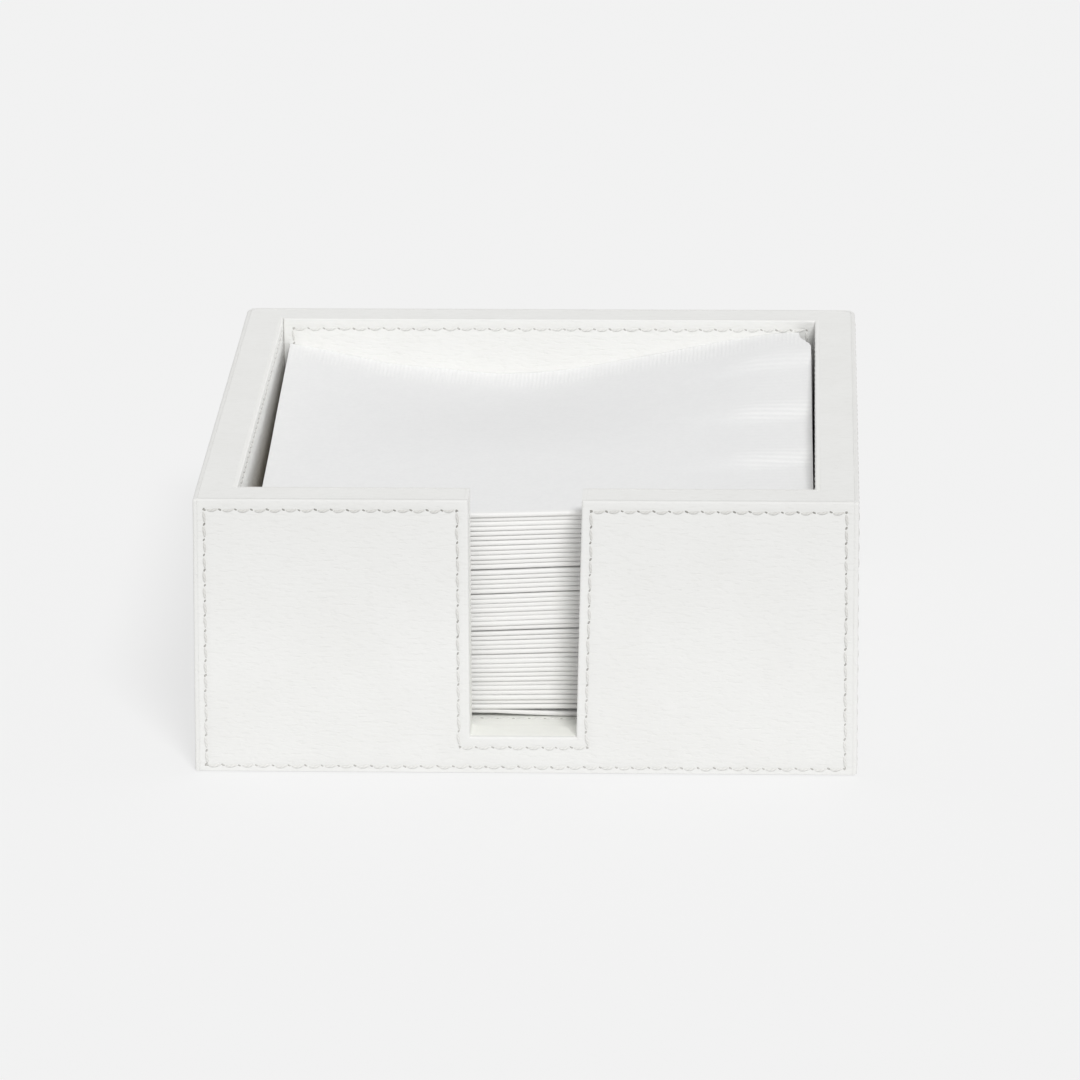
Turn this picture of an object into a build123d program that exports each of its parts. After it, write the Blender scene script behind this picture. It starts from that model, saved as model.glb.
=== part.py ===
from build123d import *
import math
import os

# Cocktail napkin holder: an open-topped square tray of pinned boards, covered and lined in stitched
# leather, with a finger notch in its front wall and a stack of folded paper napkins in its well.
# Millimetres. +X is to the right, +Y to the back, +Z up. The origin is at the bottom centre of the holder.

# Napkins, each folded in four
NAPKIN_WIDTH = 127.0
NAPKIN_DEPTH = 127.0
NAPKIN_THICKNESS = 1.16
FOLD_NOSE = 0.5  # length of the rounded-off fold at the front edge
STACK_TURN = 1.0  # degrees that the stack lies askew, anticlockwise seen from above
BUNDLE_NAPKINS = (13, 5, 8, 5, 11)  # napkins in each bundle, from the bottom up

# Room between the askew stack's corners and the stitching of the linings
SIDE_PLAY = 1.4
FRONT_PLAY = 2.4
BACK_PLAY = 0.4

# Height of the walls' upper edges above the table
RIM = 66.51

# Boards
WALL_BOARD = 7.4
BASE_BOARD = 7.0

# Leathers and the suede pad that the holder stands on
OUTER_LEATHER = 1.1
LINING_LEATHER = 1.1
FLOOR_LEATHER = 1.06
RIM_LEATHER = 1.1
NOTCH_LEATHER = 1.0
PAD = 1.0
PAD_PROUD = 0.3  # height of the outer leathers' lower edges above the table

# Finger notch, between the leathers on its cheeks
NOTCH_WIDTH = 25.0

# Stitching
STITCH_PITCH = 3.72
THREAD_WIDTH = 1.1
THREAD_HEIGHT = 0.4
NEEDLE_CLEARANCE = 0.1  # between a thread's width and the space from stitch to stitch
STITCH_INSET = 2.5  # from a panel's visible edge to its row of stitches
LOWER_STITCH_INSET = 1.4  # the same at the outer leathers' lower edges
FLOOR_STITCH_INSET = 3.3  # the same on the floor leather

# Panel pins
PIN_DIAMETER = 1.4
PIN_HEAD_DIAMETER = 2.4
PIN_HEAD_HEIGHT = 0.8
PIN_LENGTH = 22.0
PIN_CLEARANCE = 0.05
PINS_IN_ROW = 3
CORNER_PIN_INSET = 10.0  # from the wall boards' lower and upper edges to the nearest corner pins
BASE_PIN_SPACE = 10.0  # between the pins of one wall and the points of the next wall's pins

# Places that follow from the sizes above
TURN = math.radians(STACK_TURN)
STACK_SPREAD_X = NAPKIN_WIDTH * math.cos(TURN) + NAPKIN_DEPTH * math.sin(TURN)
STACK_SPREAD_Y = NAPKIN_DEPTH * math.cos(TURN) + NAPKIN_WIDTH * math.sin(TURN)
STACK_Y = (FRONT_PLAY - BACK_PLAY) / 2
WELL_X = STACK_SPREAD_X / 2 + SIDE_PLAY + THREAD_HEIGHT
WELL_Y = (STACK_SPREAD_Y + FRONT_PLAY + BACK_PLAY) / 2 + THREAD_HEIGHT
BOARD_INNER_X = WELL_X + LINING_LEATHER
BOARD_INNER_Y = WELL_Y + LINING_LEATHER
BOARD_OUTER_X = BOARD_INNER_X + WALL_BOARD
BOARD_OUTER_Y = BOARD_INNER_Y + WALL_BOARD
OUTER_X = BOARD_OUTER_X + OUTER_LEATHER
OUTER_Y = BOARD_OUTER_Y + OUTER_LEATHER
NOTCH_X = NOTCH_WIDTH / 2
NOTCH_BOARD_X = NOTCH_X + NOTCH_LEATHER
BASE_TOP = PAD + BASE_BOARD
FLOOR_TOP = BASE_TOP + FLOOR_LEATHER
STACK_BOTTOM = FLOOR_TOP + THREAD_HEIGHT
BOARD_TOP = RIM - RIM_LEATHER


def block(x, y, z):
    """A rectangular solid between the two limits given on each axis."""
    size = Box(x[1] - x[0], y[1] - y[0], z[1] - z[0])
    return Pos((x[0] + x[1]) / 2, (y[0] + y[1]) / 2, (z[0] + z[1]) / 2) * size


def band(inner, outer, side):
    """The limits of a layer from inner to outer on the side -1 or +1 of an axis."""
    return tuple(sorted((side * inner, side * outer)))


def group(solids):
    """Separate solids that share one node."""
    return Compound(children=[solid for piece in solids for solid in piece.solids()])


def spread(low, high, count):
    """Evenly spaced places from low to high, both included."""
    return [low + (high - low) * i / (count - 1) for i in range(count)]


# Panel pins: round shanks with flat heads, driven square to a wall board's outer face

def pin(clearance=0.0):
    """One pin along -Z with its head's top at the origin, or its hole, larger by the clearance all round."""
    downwards = (Align.CENTER, Align.CENTER, Align.MAX)
    shank = Cylinder(PIN_DIAMETER / 2 + clearance, PIN_LENGTH + clearance, align=downwards)
    head = Cylinder(PIN_HEAD_DIAMETER / 2 + clearance, PIN_HEAD_HEIGHT + clearance, align=downwards)
    return shank + head


def corner_pin_places():
    """Through the side boards into the ends of the front and back boards."""
    heights = spread(PAD + CORNER_PIN_INSET, BOARD_TOP - CORNER_PIN_INSET, PINS_IN_ROW)
    middle_y = BOARD_INNER_Y + WALL_BOARD / 2
    return [
        Plane((side * BOARD_OUTER_X, end * middle_y, z), x_dir=(0, 1, 0), z_dir=(side, 0, 0)).location
        for side in (-1, 1) for end in (-1, 1) for z in heights
    ]


def base_pin_places():
    """Through all four wall boards into the edges of the base board."""
    middle_z = PAD + BASE_BOARD / 2
    reach_x = BOARD_OUTER_X - PIN_LENGTH - BASE_PIN_SPACE
    reach_y = BOARD_OUTER_Y - PIN_LENGTH - BASE_PIN_SPACE
    through_sides = [
        Plane((side * BOARD_OUTER_X, y, middle_z), x_dir=(0, 1, 0), z_dir=(side, 0, 0)).location
        for side in (-1, 1) for y in spread(-reach_y, reach_y, PINS_IN_ROW)
    ]
    through_ends = [
        Plane((x, end * BOARD_OUTER_Y, middle_z), x_dir=(1, 0, 0), z_dir=(0, end, 0)).location
        for end in (-1, 1) for x in spread(-reach_x, reach_x, PINS_IN_ROW)
    ]
    return through_sides + through_ends


CORNER_PINS = corner_pin_places()
BASE_PINS = base_pin_places()


def drilled(board):
    """A board with a hole for each pin that enters it."""
    reach = board.bounding_box()
    hole = pin(PIN_CLEARANCE)
    for place in CORNER_PINS + BASE_PINS:
        drill = place * hole
        if reach.overlaps(drill.bounding_box()):
            board = board - drill
    return board


# Boards: the sides run the full depth, the front and back stand between them, the base lies between all four

def side_board(side):
    wall = block(band(BOARD_INNER_X, BOARD_OUTER_X, side), (-BOARD_OUTER_Y, BOARD_OUTER_Y), (PAD, BOARD_TOP))
    return drilled(wall)


def end_board(end):
    wall = block((-BOARD_INNER_X, BOARD_INNER_X), band(BOARD_INNER_Y, BOARD_OUTER_Y, end), (PAD, BOARD_TOP))
    return drilled(wall)


def notch_cut(half_width, bottom):
    """The space cut out of the front wall for the notch."""
    return block((-half_width, half_width), (-2 * OUTER_Y, -WELL_Y / 2), (bottom, 2 * RIM))


def front_board():
    return end_board(-1) - notch_cut(NOTCH_BOARD_X, FLOOR_TOP - NOTCH_LEATHER)


def base_board():
    return drilled(block((-BOARD_INNER_X, BOARD_INNER_X), (-BOARD_INNER_Y, BOARD_INNER_Y), (PAD, BASE_TOP)))


# Leathers: the side leathers lap the ends of the front and back ones, and the rim's lies between them all

def side_leather(side):
    return block(band(BOARD_OUTER_X, OUTER_X, side), (-OUTER_Y, OUTER_Y), (PAD_PROUD, RIM))


def end_leather(end):
    return block((-BOARD_OUTER_X, BOARD_OUTER_X), band(BOARD_OUTER_Y, OUTER_Y, end), (PAD_PROUD, RIM))


def front_leather():
    return end_leather(-1) - notch_cut(NOTCH_X, FLOOR_TOP)


def rim_leather():
    frame = block((-BOARD_OUTER_X, BOARD_OUTER_X), (-BOARD_OUTER_Y, BOARD_OUTER_Y), (BOARD_TOP, RIM))
    well = block((-BOARD_INNER_X, BOARD_INNER_X), (-BOARD_INNER_Y, BOARD_INNER_Y), (BOARD_TOP, RIM))
    return frame - well - notch_cut(NOTCH_BOARD_X, FLOOR_TOP)


def notch_leather():
    """One strip down a cheek of the notch, across its sill and up the other cheek."""
    depth = band(BOARD_INNER_Y, BOARD_OUTER_Y, -1)
    strip = block((-NOTCH_BOARD_X, NOTCH_BOARD_X), depth, (FLOOR_TOP - NOTCH_LEATHER, RIM))
    return strip - notch_cut(NOTCH_X, FLOOR_TOP)


def side_lining(side):
    return block(band(WELL_X, BOARD_INNER_X, side), (-BOARD_INNER_Y, BOARD_INNER_Y), (FLOOR_TOP, RIM))


def back_lining():
    return block((-WELL_X, WELL_X), (WELL_Y, BOARD_INNER_Y), (FLOOR_TOP, RIM))


def front_lining(side):
    """The notch reaches the floor, so the front lining is two panels, one on each side of it."""
    return block(band(NOTCH_X, WELL_X, side), band(WELL_Y, BOARD_INNER_Y, -1), (FLOOR_TOP, RIM))


def floor_leather():
    return block((-BOARD_INNER_X, BOARD_INNER_X), (-BOARD_INNER_Y, BOARD_INNER_Y), (BASE_TOP, FLOOR_TOP))


def suede_pad():
    return block((-BOARD_OUTER_X, BOARD_OUTER_X), (-BOARD_OUTER_Y, BOARD_OUTER_Y), (0, PAD))


# Stitching: flat-bottomed bars of thread that lie on the leather in rows

def stitch(pitch):
    """One stitch along X on the plane Z = 0, sloping down to its needle holes at both ends."""
    foot = (pitch - THREAD_WIDTH - NEEDLE_CLEARANCE) / 2
    crown = foot - THREAD_HEIGHT
    outline = Polyline((-foot, 0), (foot, 0), (crown, THREAD_HEIGHT), (-crown, THREAD_HEIGHT), close=True)
    return extrude(Plane.XZ * make_face(outline), amount=THREAD_WIDTH / 2, both=True)


def stitch_row(surface, start, end):
    """A row of stitches between two points of a surface's own plane, at the pitch nearest the wanted one."""
    run_x = end[0] - start[0]
    run_y = end[1] - start[1]
    length = math.hypot(run_x, run_y)
    count = max(1, round(length / STITCH_PITCH))
    one = stitch(length / count)
    turn = Rot(0, 0, math.degrees(math.atan2(run_y, run_x)))
    shares = [(i + 0.5) / count for i in range(count)]
    places = [surface.location * Pos(start[0] + run_x * t, start[1] + run_y * t, 0) for t in shares]
    return [place * turn * one for place in places]


def stitched(surface, corners):
    """Rows of stitches round a closed outline."""
    rows = zip(corners, corners[1:] + corners[:1])
    return [one for start, end in rows for one in stitch_row(surface, start, end)]


def rectangle(x, y):
    """The corners of a rectangle between the two limits given on each axis, anticlockwise."""
    return [(x[0], y[0]), (x[1], y[0]), (x[1], y[1]), (x[0], y[1])]


def facing(origin, normal):
    """The plane of an upright surface, with its second axis up."""
    return Plane(origin, x_dir=Vector(0, 0, 1).cross(Vector(normal)), z_dir=normal)


LOWER_ROW = PAD_PROUD + LOWER_STITCH_INSET
UPPER_ROW = RIM - STITCH_INSET
LINING_ROW = FLOOR_TOP + STITCH_INSET


def outer_stitching(origin, normal, half_width):
    reach = half_width - STITCH_INSET
    return group(stitched(facing(origin, normal), rectangle((-reach, reach), (LOWER_ROW, UPPER_ROW))))


def front_stitching():
    """Round the front panel, down both cheeks of the notch and along under its sill."""
    reach = OUTER_X - STITCH_INSET
    notch = NOTCH_X + STITCH_INSET
    sill = FLOOR_TOP - STITCH_INSET
    corners = [
        (-reach, LOWER_ROW), (reach, LOWER_ROW), (reach, UPPER_ROW), (notch, UPPER_ROW),
        (notch, sill), (-notch, sill), (-notch, UPPER_ROW), (-reach, UPPER_ROW),
    ]
    return group(stitched(facing((0, -OUTER_Y, 0), (0, -1, 0)), corners))


def lining_stitching(origin, normal, panels):
    """Rows round each panel of a lining; panels are limits along the surface's level axis."""
    surface = facing(origin, normal)
    rows = [stitched(surface, rectangle(limits, (LINING_ROW, UPPER_ROW))) for limits in panels]
    return group([one for row in rows for one in row])


def front_lining_stitching():
    near = NOTCH_X + STITCH_INSET
    far = WELL_X - STITCH_INSET
    return lining_stitching((0, -WELL_Y, 0), (0, 1, 0), [(-far, -near), (near, far)])


def floor_stitching():
    reach_x = WELL_X - FLOOR_STITCH_INSET
    reach_y = WELL_Y - FLOOR_STITCH_INSET
    surface = Plane((0, 0, FLOOR_TOP), x_dir=(1, 0, 0), z_dir=(0, 0, 1))
    return group(stitched(surface, rectangle((-reach_x, reach_x), (-reach_y, reach_y))))


# Napkins

def napkin():
    """One folded napkin on the plane Z = 0, with the nose of its fold at the front."""
    front = -NAPKIN_DEPTH / 2
    back = NAPKIN_DEPTH / 2
    shoulder = front + FOLD_NOSE
    third = NAPKIN_THICKNESS / 3
    outline = Polyline(
        (shoulder, 0), (back, 0), (back, NAPKIN_THICKNESS), (shoulder, NAPKIN_THICKNESS),
        (front, 2 * third), (front, third), close=True,
    )
    return extrude(Plane.YZ * make_face(outline), amount=NAPKIN_WIDTH / 2, both=True)


def napkins(first, count):
    """A run of napkins of the stack, counted from its bottom."""
    one = napkin()
    turn = Rot(0, 0, STACK_TURN)
    heights = [STACK_BOTTOM + (first + i) * NAPKIN_THICKNESS for i in range(count)]
    return group([Pos(0, STACK_Y, z) * turn * one for z in heights])


def main():
    side_reach = WELL_Y - STITCH_INSET
    end_reach = WELL_X - STITCH_INSET
    nodes = {
        "front_board": front_board(),
        "back_board": end_board(1),
        "left_board": side_board(-1),
        "right_board": side_board(1),
        "base_board": base_board(),
        "corner_pins": group([place * pin() for place in CORNER_PINS]),
        "base_pins": group([place * pin() for place in BASE_PINS]),
        "front_leather": front_leather(),
        "back_leather": end_leather(1),
        "left_leather": side_leather(-1),
        "right_leather": side_leather(1),
        "rim_leather": rim_leather(),
        "notch_leather": notch_leather(),
        "front_left_lining": front_lining(-1),
        "front_right_lining": front_lining(1),
        "back_lining": back_lining(),
        "left_lining": side_lining(-1),
        "right_lining": side_lining(1),
        "floor_leather": floor_leather(),
        "suede_pad": suede_pad(),
        "front_stitching": front_stitching(),
        "back_stitching": outer_stitching((0, OUTER_Y, 0), (0, 1, 0), OUTER_X),
        "left_stitching": outer_stitching((-OUTER_X, 0, 0), (-1, 0, 0), OUTER_Y),
        "right_stitching": outer_stitching((OUTER_X, 0, 0), (1, 0, 0), OUTER_Y),
        "front_lining_stitching": front_lining_stitching(),
        "back_lining_stitching": lining_stitching((0, WELL_Y, 0), (0, -1, 0), [(-end_reach, end_reach)]),
        "left_lining_stitching": lining_stitching((-WELL_X, 0, 0), (1, 0, 0), [(-side_reach, side_reach)]),
        "right_lining_stitching": lining_stitching((WELL_X, 0, 0), (-1, 0, 0), [(-side_reach, side_reach)]),
        "floor_stitching": floor_stitching(),
    }
    first = 0
    for number, count in enumerate(BUNDLE_NAPKINS, start=1):
        nodes[f"napkin_bundle_{number}"] = napkins(first, count)
        first += count
    nodes["top_napkin"] = napkins(first, 1)

    os.makedirs("parts", exist_ok=True)
    for name, shape in nodes.items():
        shape.label = name
        export_step(shape, f"parts/{name}.step")


main()
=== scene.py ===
"""Looks of a stitched leather cocktail napkin holder and the folded paper napkins that lie in it."""

import logging
import math
import random
from collections.abc import Callable, Iterable, Sequence
from dataclasses import dataclass, field, replace
from enum import Enum

import bmesh
import bpy
import numpy as np
from mathutils import Matrix, Vector, noise


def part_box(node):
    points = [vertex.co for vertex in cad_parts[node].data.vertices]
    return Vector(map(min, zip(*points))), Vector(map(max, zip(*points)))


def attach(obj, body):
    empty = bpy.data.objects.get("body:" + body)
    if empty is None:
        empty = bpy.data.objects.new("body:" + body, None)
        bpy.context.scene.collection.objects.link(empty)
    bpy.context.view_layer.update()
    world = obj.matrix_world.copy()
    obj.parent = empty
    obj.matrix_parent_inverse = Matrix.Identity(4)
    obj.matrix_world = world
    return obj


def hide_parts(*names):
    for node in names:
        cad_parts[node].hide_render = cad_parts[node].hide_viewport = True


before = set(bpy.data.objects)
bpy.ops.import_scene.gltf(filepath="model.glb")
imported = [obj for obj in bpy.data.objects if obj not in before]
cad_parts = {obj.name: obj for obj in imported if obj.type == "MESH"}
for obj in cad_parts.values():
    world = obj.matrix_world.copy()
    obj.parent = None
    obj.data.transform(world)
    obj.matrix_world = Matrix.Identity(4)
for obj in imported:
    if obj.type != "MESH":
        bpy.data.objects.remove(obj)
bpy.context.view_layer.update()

log = logging.getLogger("napkin_holder")

MM = 0.001
CLOSE = 0.01 * MM
HOLDER = "holder"
STACK = "napkin_stack"
UPPERMOST = "uppermost_napkin"

Tone = tuple[float, float, float]
Fit = Callable[[np.ndarray], np.ndarray]
BLACK: Tone = (0.0, 0.0, 0.0)


class Facing(Enum):
    """The way that a flat piece faces: the level and upright axes of its own plane, and its normal."""

    FRONT = ((1, 0, 0), (0, 0, 1), (0, -1, 0))
    BACK = ((-1, 0, 0), (0, 0, 1), (0, 1, 0))
    LEFT = ((0, -1, 0), (0, 0, 1), (-1, 0, 0))
    RIGHT = ((0, 1, 0), (0, 0, 1), (1, 0, 0))
    UP = ((1, 0, 0), (0, 1, 0), (0, 0, 1))
    DOWN = ((1, 0, 0), (0, -1, 0), (0, 0, -1))

    @property
    def turn(self) -> Matrix:
        """The turn from the piece's own plane into the frame."""
        return Matrix(self.value).transposed().to_4x4()

    def box(self, node: str) -> tuple[Vector, Vector]:
        """A node's lowest and highest corners in the piece's own plane.

        Args:
            node: The node's name.

        Returns:
            The two corners: along, up and outwards.
        """
        ends = [self.turn.transposed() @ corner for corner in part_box(node)]
        return Vector(map(min, *ends)), Vector(map(max, *ends))


# Shader maths

class Value:
    """A number, colour or vector in a material, so that shader maths reads as plain expressions."""

    def __init__(self, recipe: "Recipe", socket: bpy.types.NodeSocket) -> None:
        """Keeps the socket that gives the value and the recipe that it belongs to."""
        self.recipe = recipe
        self.socket = socket

    def __add__(self, other: "Value | float") -> "Value":
        """This plus another."""
        return self.recipe.math("ADD", self, other)

    __radd__ = __add__

    def __sub__(self, other: "Value | float") -> "Value":
        """This less another."""
        return self.recipe.math("SUBTRACT", self, other)

    def __rsub__(self, other: "Value | float") -> "Value":
        """Another less this."""
        return self.recipe.math("SUBTRACT", other, self)

    def __mul__(self, other: "Value | float") -> "Value":
        """This times another."""
        return self.recipe.math("MULTIPLY", self, other)

    __rmul__ = __mul__

    def wave(self, cycles: float) -> "Value":
        """A sine of this value, from -1 to 1, with that many cycles to the unit."""
        return self.recipe.math("SINE", self * (cycles * math.tau))

    def ramp(self, low: float, high: float) -> "Value":
        """A smooth step from 0 at low to 1 at high.

        Args:
            low: The value that gives 0.
            high: The value that gives 1.

        Returns:
            The stepped value.
        """
        settings = {"interpolation_type": "SMOOTHSTEP"}
        inputs = {"Value": self, "From Min": low, "From Max": high}
        return Value(self.recipe, self.recipe.node("ShaderNodeMapRange", settings, inputs).outputs["Result"])


class Recipe:
    """The nodes of one material."""

    def __init__(self, name: str) -> None:
        """Starts an empty material.

        Args:
            name: The material's name.
        """
        self.material = bpy.data.materials.new(name)
        self.material.use_nodes = True
        self.tree = self.material.node_tree
        self.tree.nodes.clear()

    def node(self, kind: str, settings: dict | None = None, inputs: dict | None = None) -> bpy.types.Node:
        """Adds one node.

        Args:
            kind: The node's type.
            settings: Its properties, set first.
            inputs: The values or links of its sockets, by name or number.

        Returns:
            The node.
        """
        made = self.tree.nodes.new(kind)
        for name, setting in (settings or {}).items():
            setattr(made, name, setting)
        for name, given in (inputs or {}).items():
            if isinstance(given, Value):
                self.tree.links.new(given.socket, made.inputs[name])
            else:
                made.inputs[name].default_value = given
        return made

    def math(self, operation: str, *values: "Value | float") -> Value:
        """One step of arithmetic on numbers.

        Args:
            operation: The Math node's operation.
            values: What it works on.

        Returns:
            The result.
        """
        made = self.node("ShaderNodeMath", {"operation": operation}, dict(enumerate(values)))
        return Value(self, made.outputs[0])

    def place(self, stretch: Sequence[float] = (1.0, 1.0, 1.0)) -> Value:
        """The point on the piece, in metres, with its axes stretched.

        Args:
            stretch: The factor of each axis; a pattern grows longer where it is under 1.

        Returns:
            The point.
        """
        point = Value(self, self.node("ShaderNodeTexCoord").outputs["Object"])
        made = self.node("ShaderNodeMapping", None, {"Vector": point, "Scale": stretch})
        return Value(self, made.outputs["Vector"])

    def mottle(self, point: Value, size: float, detail: float = 3.0, roughness: float = 0.5) -> Value:
        """Soft noise from 0 to 1.

        Args:
            point: Where it is read.
            size: The size of its blotches in metres.
            detail: How many finer layers it has.
            roughness: How strong the finer layers are.

        Returns:
            The noise.
        """
        inputs = {"Vector": point, "Scale": 1.0 / size, "Detail": detail, "Roughness": roughness}
        return Value(self, self.node("ShaderNodeTexNoise", None, inputs).outputs["Fac"])

    def pebbles(self, point: Value, size: float) -> Value:
        """Rounded cells, 0 at their middles and rising to their borders.

        Args:
            point: Where they are read.
            size: The size of a cell in metres.

        Returns:
            The distance to the nearest middle, in cells.
        """
        settings = {"feature": "SMOOTH_F1"}
        inputs = {"Vector": point, "Scale": 1.0 / size, "Smoothness": 0.6, "Randomness": 0.9}
        return Value(self, self.node("ShaderNodeTexVoronoi", settings, inputs).outputs["Distance"])

    def part(self, vector: Value, axis: str) -> Value:
        """One axis, X, Y or Z, of a point or vector."""
        return Value(self, self.node("ShaderNodeSeparateXYZ", None, {0: vector}).outputs[axis])

    def painted(self, name: str) -> Value:
        """A number that the mesh carries at its points, by its name."""
        settings = {"attribute_type": "GEOMETRY", "attribute_name": name}
        return Value(self, self.node("ShaderNodeAttribute", settings).outputs["Fac"])

    def blend(self, share: "Value | float", first: "Tone | Value", second: "Tone | Value") -> Value:
        """A colour between two colours.

        Args:
            share: 0 for the first colour, 1 for the second.
            first: A linear colour, or a value that gives one.
            second: Another.

        Returns:
            The colour.
        """
        ends = [colour if isinstance(colour, Value) else (*colour, 1.0) for colour in (first, second)]
        inputs = {0: share, 6: ends[0], 7: ends[1]}
        made = self.node("ShaderNodeMix", {"data_type": "RGBA"}, inputs)
        return Value(self, made.outputs[2])

    def relief(self, height: Value, depth: float, strength: float = 1.0) -> Value:
        """The normal of a surface raised by a height map.

        Args:
            height: The height, about 0 to 1.
            depth: The height of 1 in metres.
            strength: How much of the relief shows.

        Returns:
            The normal.
        """
        inputs = {"Height": height, "Distance": depth, "Strength": strength}
        return Value(self, self.node("ShaderNodeBump", None, inputs).outputs["Normal"])

    def surface(self, **inputs: object) -> bpy.types.Material:
        """Closes the material with one shader.

        Args:
            inputs: The shader's sockets, with _ for a space in a name.

        Returns:
            The material.
        """
        named = {name.replace("_", " "): given for name, given in inputs.items()}
        shader = self.node("ShaderNodeBsdfPrincipled", None, named)
        end = self.node("ShaderNodeOutputMaterial")
        self.tree.links.new(shader.outputs["BSDF"], end.inputs["Surface"])
        return self.material


# Finishes

SEAM = "seam"
CUT_EDGE = "cut_edge"
FOLD = "fold"
BACK_BAND = "back_band"
RIGHT_BAND = "right_band"
BACK_PITCH = 1.0 * MM
RIGHT_PITCH = 2.5 * MM


class Grain(Enum):
    """The axis that a leather's grain runs along, as the stretch of its pattern."""

    ALONG_X = (0.3, 1.0, 1.0)
    ALONG_Y = (1.0, 0.3, 1.0)


@dataclass(frozen=True)
class Leather:
    """Fine-grained white leather with a satin top coat; its tone is painted with light and shade by height,
    from the table to the rim and on its rolled top edge.
    """

    name: str
    low: Tone
    high: Tone
    crown: Tone
    darker_tone: Tone
    grain: Grain = Grain.ALONG_X
    rise: tuple[float, float] = (20.0 * MM, 64.0 * MM)
    crest: tuple[float, float] = (65.7 * MM, 66.3 * MM)
    grain_size: float = 0.55 * MM
    grain_depth: float = 0.06 * MM
    streak_size: float = 1.0 * MM
    crease_size: float = 0.8 * MM
    cloud_size: float = 14.0 * MM
    seam_darkening: float = 0.12
    edge_soil: float = 0.1
    crease_darkening: float = 0.07
    high_crease_darkening: float = 0.09
    cloud_soil: float = 0.16
    roughness: float = 0.5

    def material(self) -> bpy.types.Material:
        """The leather's material: pebbled grain, level creases, darker seams, rubbed cut edges, and a tone
        painted with light and shade by height.
        """
        recipe = Recipe(self.name)
        point = recipe.place(self.grain.value)
        pebbles = recipe.pebbles(point, self.grain_size)
        streaks = recipe.mottle(point, self.streak_size, detail=4.0, roughness=0.6)
        creases = recipe.mottle(point, self.crease_size, detail=2.0).ramp(0.52, 0.68)
        clouds = recipe.mottle(recipe.place(), self.cloud_size).ramp(0.3, 0.75)
        height = recipe.part(recipe.place(), "Z")
        # Painted light and shade: the tone goes from low at the table to high at the rim.
        up = height.ramp(*self.rise)
        wall = recipe.blend(up, self.low, self.high)
        # Painted light and shade on the rolled top edge: its crown tone.
        lighter_tone = recipe.blend(height.ramp(*self.crest), wall, self.crown)
        edge = recipe.painted(CUT_EDGE)
        # Darker along the seams, at the cut edges, in clouds, and in the creases, most towards the top.
        darkening_share = (recipe.painted(SEAM) * self.seam_darkening + edge * self.edge_soil + clouds * self.cloud_soil
                + creases * (self.crease_darkening + up * self.high_crease_darkening))
        return recipe.surface(
            Base_Color=recipe.blend(darkening_share, lighter_tone, self.darker_tone),
            Roughness=self.roughness + streaks * 0.12 + edge * 0.2,
            Specular_IOR_Level=0.3,
            Normal=recipe.relief(pebbles * -0.5 + streaks + creases * -0.5, self.grain_depth),
        )


# Painted light and shade in the finishes: low and high set the tone up each wall, lighter at the table on the
# outer leathers, and crown sets the rolled top edge, darker at the front where it takes off a highlight and
# lighter at the back and sides where it takes off shade.
FRONT_FINISH = Leather(
    name="front_leather_finish",
    low=(0.8, 0.8, 0.785),
    high=(0.762, 0.762, 0.748),
    crown=(0.747, 0.747, 0.733),
    darker_tone=(0.7, 0.695, 0.671),
)
BACK_FINISH = replace(FRONT_FINISH, name="back_leather_finish", crown=(0.813, 0.813, 0.798))
SIDE_FINISH = replace(BACK_FINISH, name="side_leather_finish", grain=Grain.ALONG_Y)
RIM_FINISH = Leather(
    name="rim_leather_finish",
    low=(0.85, 0.85, 0.834),
    high=(0.85, 0.85, 0.834),
    crown=(0.85, 0.85, 0.834),
    darker_tone=(0.74, 0.735, 0.71),
)
# Painted light: the notch strip grows lighter up its cheeks, which stand in the shade of the notch.
NOTCH_FINISH = Leather(
    name="notch_leather_finish",
    low=(0.885, 0.89, 0.853),
    high=(0.93, 0.93, 0.91),
    crown=(0.85, 0.85, 0.834),
    darker_tone=(0.80, 0.795, 0.76),
)
FLOOR_FINISH = replace(NOTCH_FINISH, name="floor_leather_finish", high=(0.885, 0.89, 0.853),
                       crown=(0.885, 0.89, 0.853))
LINING_FINISH = Leather(
    name="lining_finish_x",
    low=(0.832, 0.827, 0.804),
    high=(0.849, 0.849, 0.832),
    crown=(0.8, 0.8, 0.785),
    darker_tone=(0.775, 0.77, 0.742),
)
# Painted shade: the side linings turn dark brown below the napkins' top, in the deep gap between the stack
# and the wall.
SIDE_LINING_FINISH = Leather(
    name="lining_finish_y",
    low=(0.7, 0.64, 0.54),
    high=(0.965, 0.965, 0.945),
    crown=(0.85, 0.85, 0.834),
    darker_tone=(0.86, 0.855, 0.82),
    grain=Grain.ALONG_Y,
    rise=(46.0 * MM, 61.0 * MM),
    crest=(66.3 * MM, 66.5 * MM),
)

# Painted shade on the stitches: how it rises with height and falls towards the back.
STITCH_SHADE_HEIGHT = (0.0, 66.0 * MM)
STITCH_SHADE_DEPTH = (-30.0 * MM, 50.0 * MM)


def painted_stitch_shade(recipe: Recipe) -> Value:
    """How much painted shade darkens the sewing: most at the top in front, least at the back and below.

    Args:
        recipe: The material that it is for.

    Returns:
        The share, from 0 to 1.
    """
    point = recipe.place()
    height = recipe.part(point, "Z").ramp(*STITCH_SHADE_HEIGHT)
    return height * (1.0 - recipe.part(point, "Y").ramp(*STITCH_SHADE_DEPTH))


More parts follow.
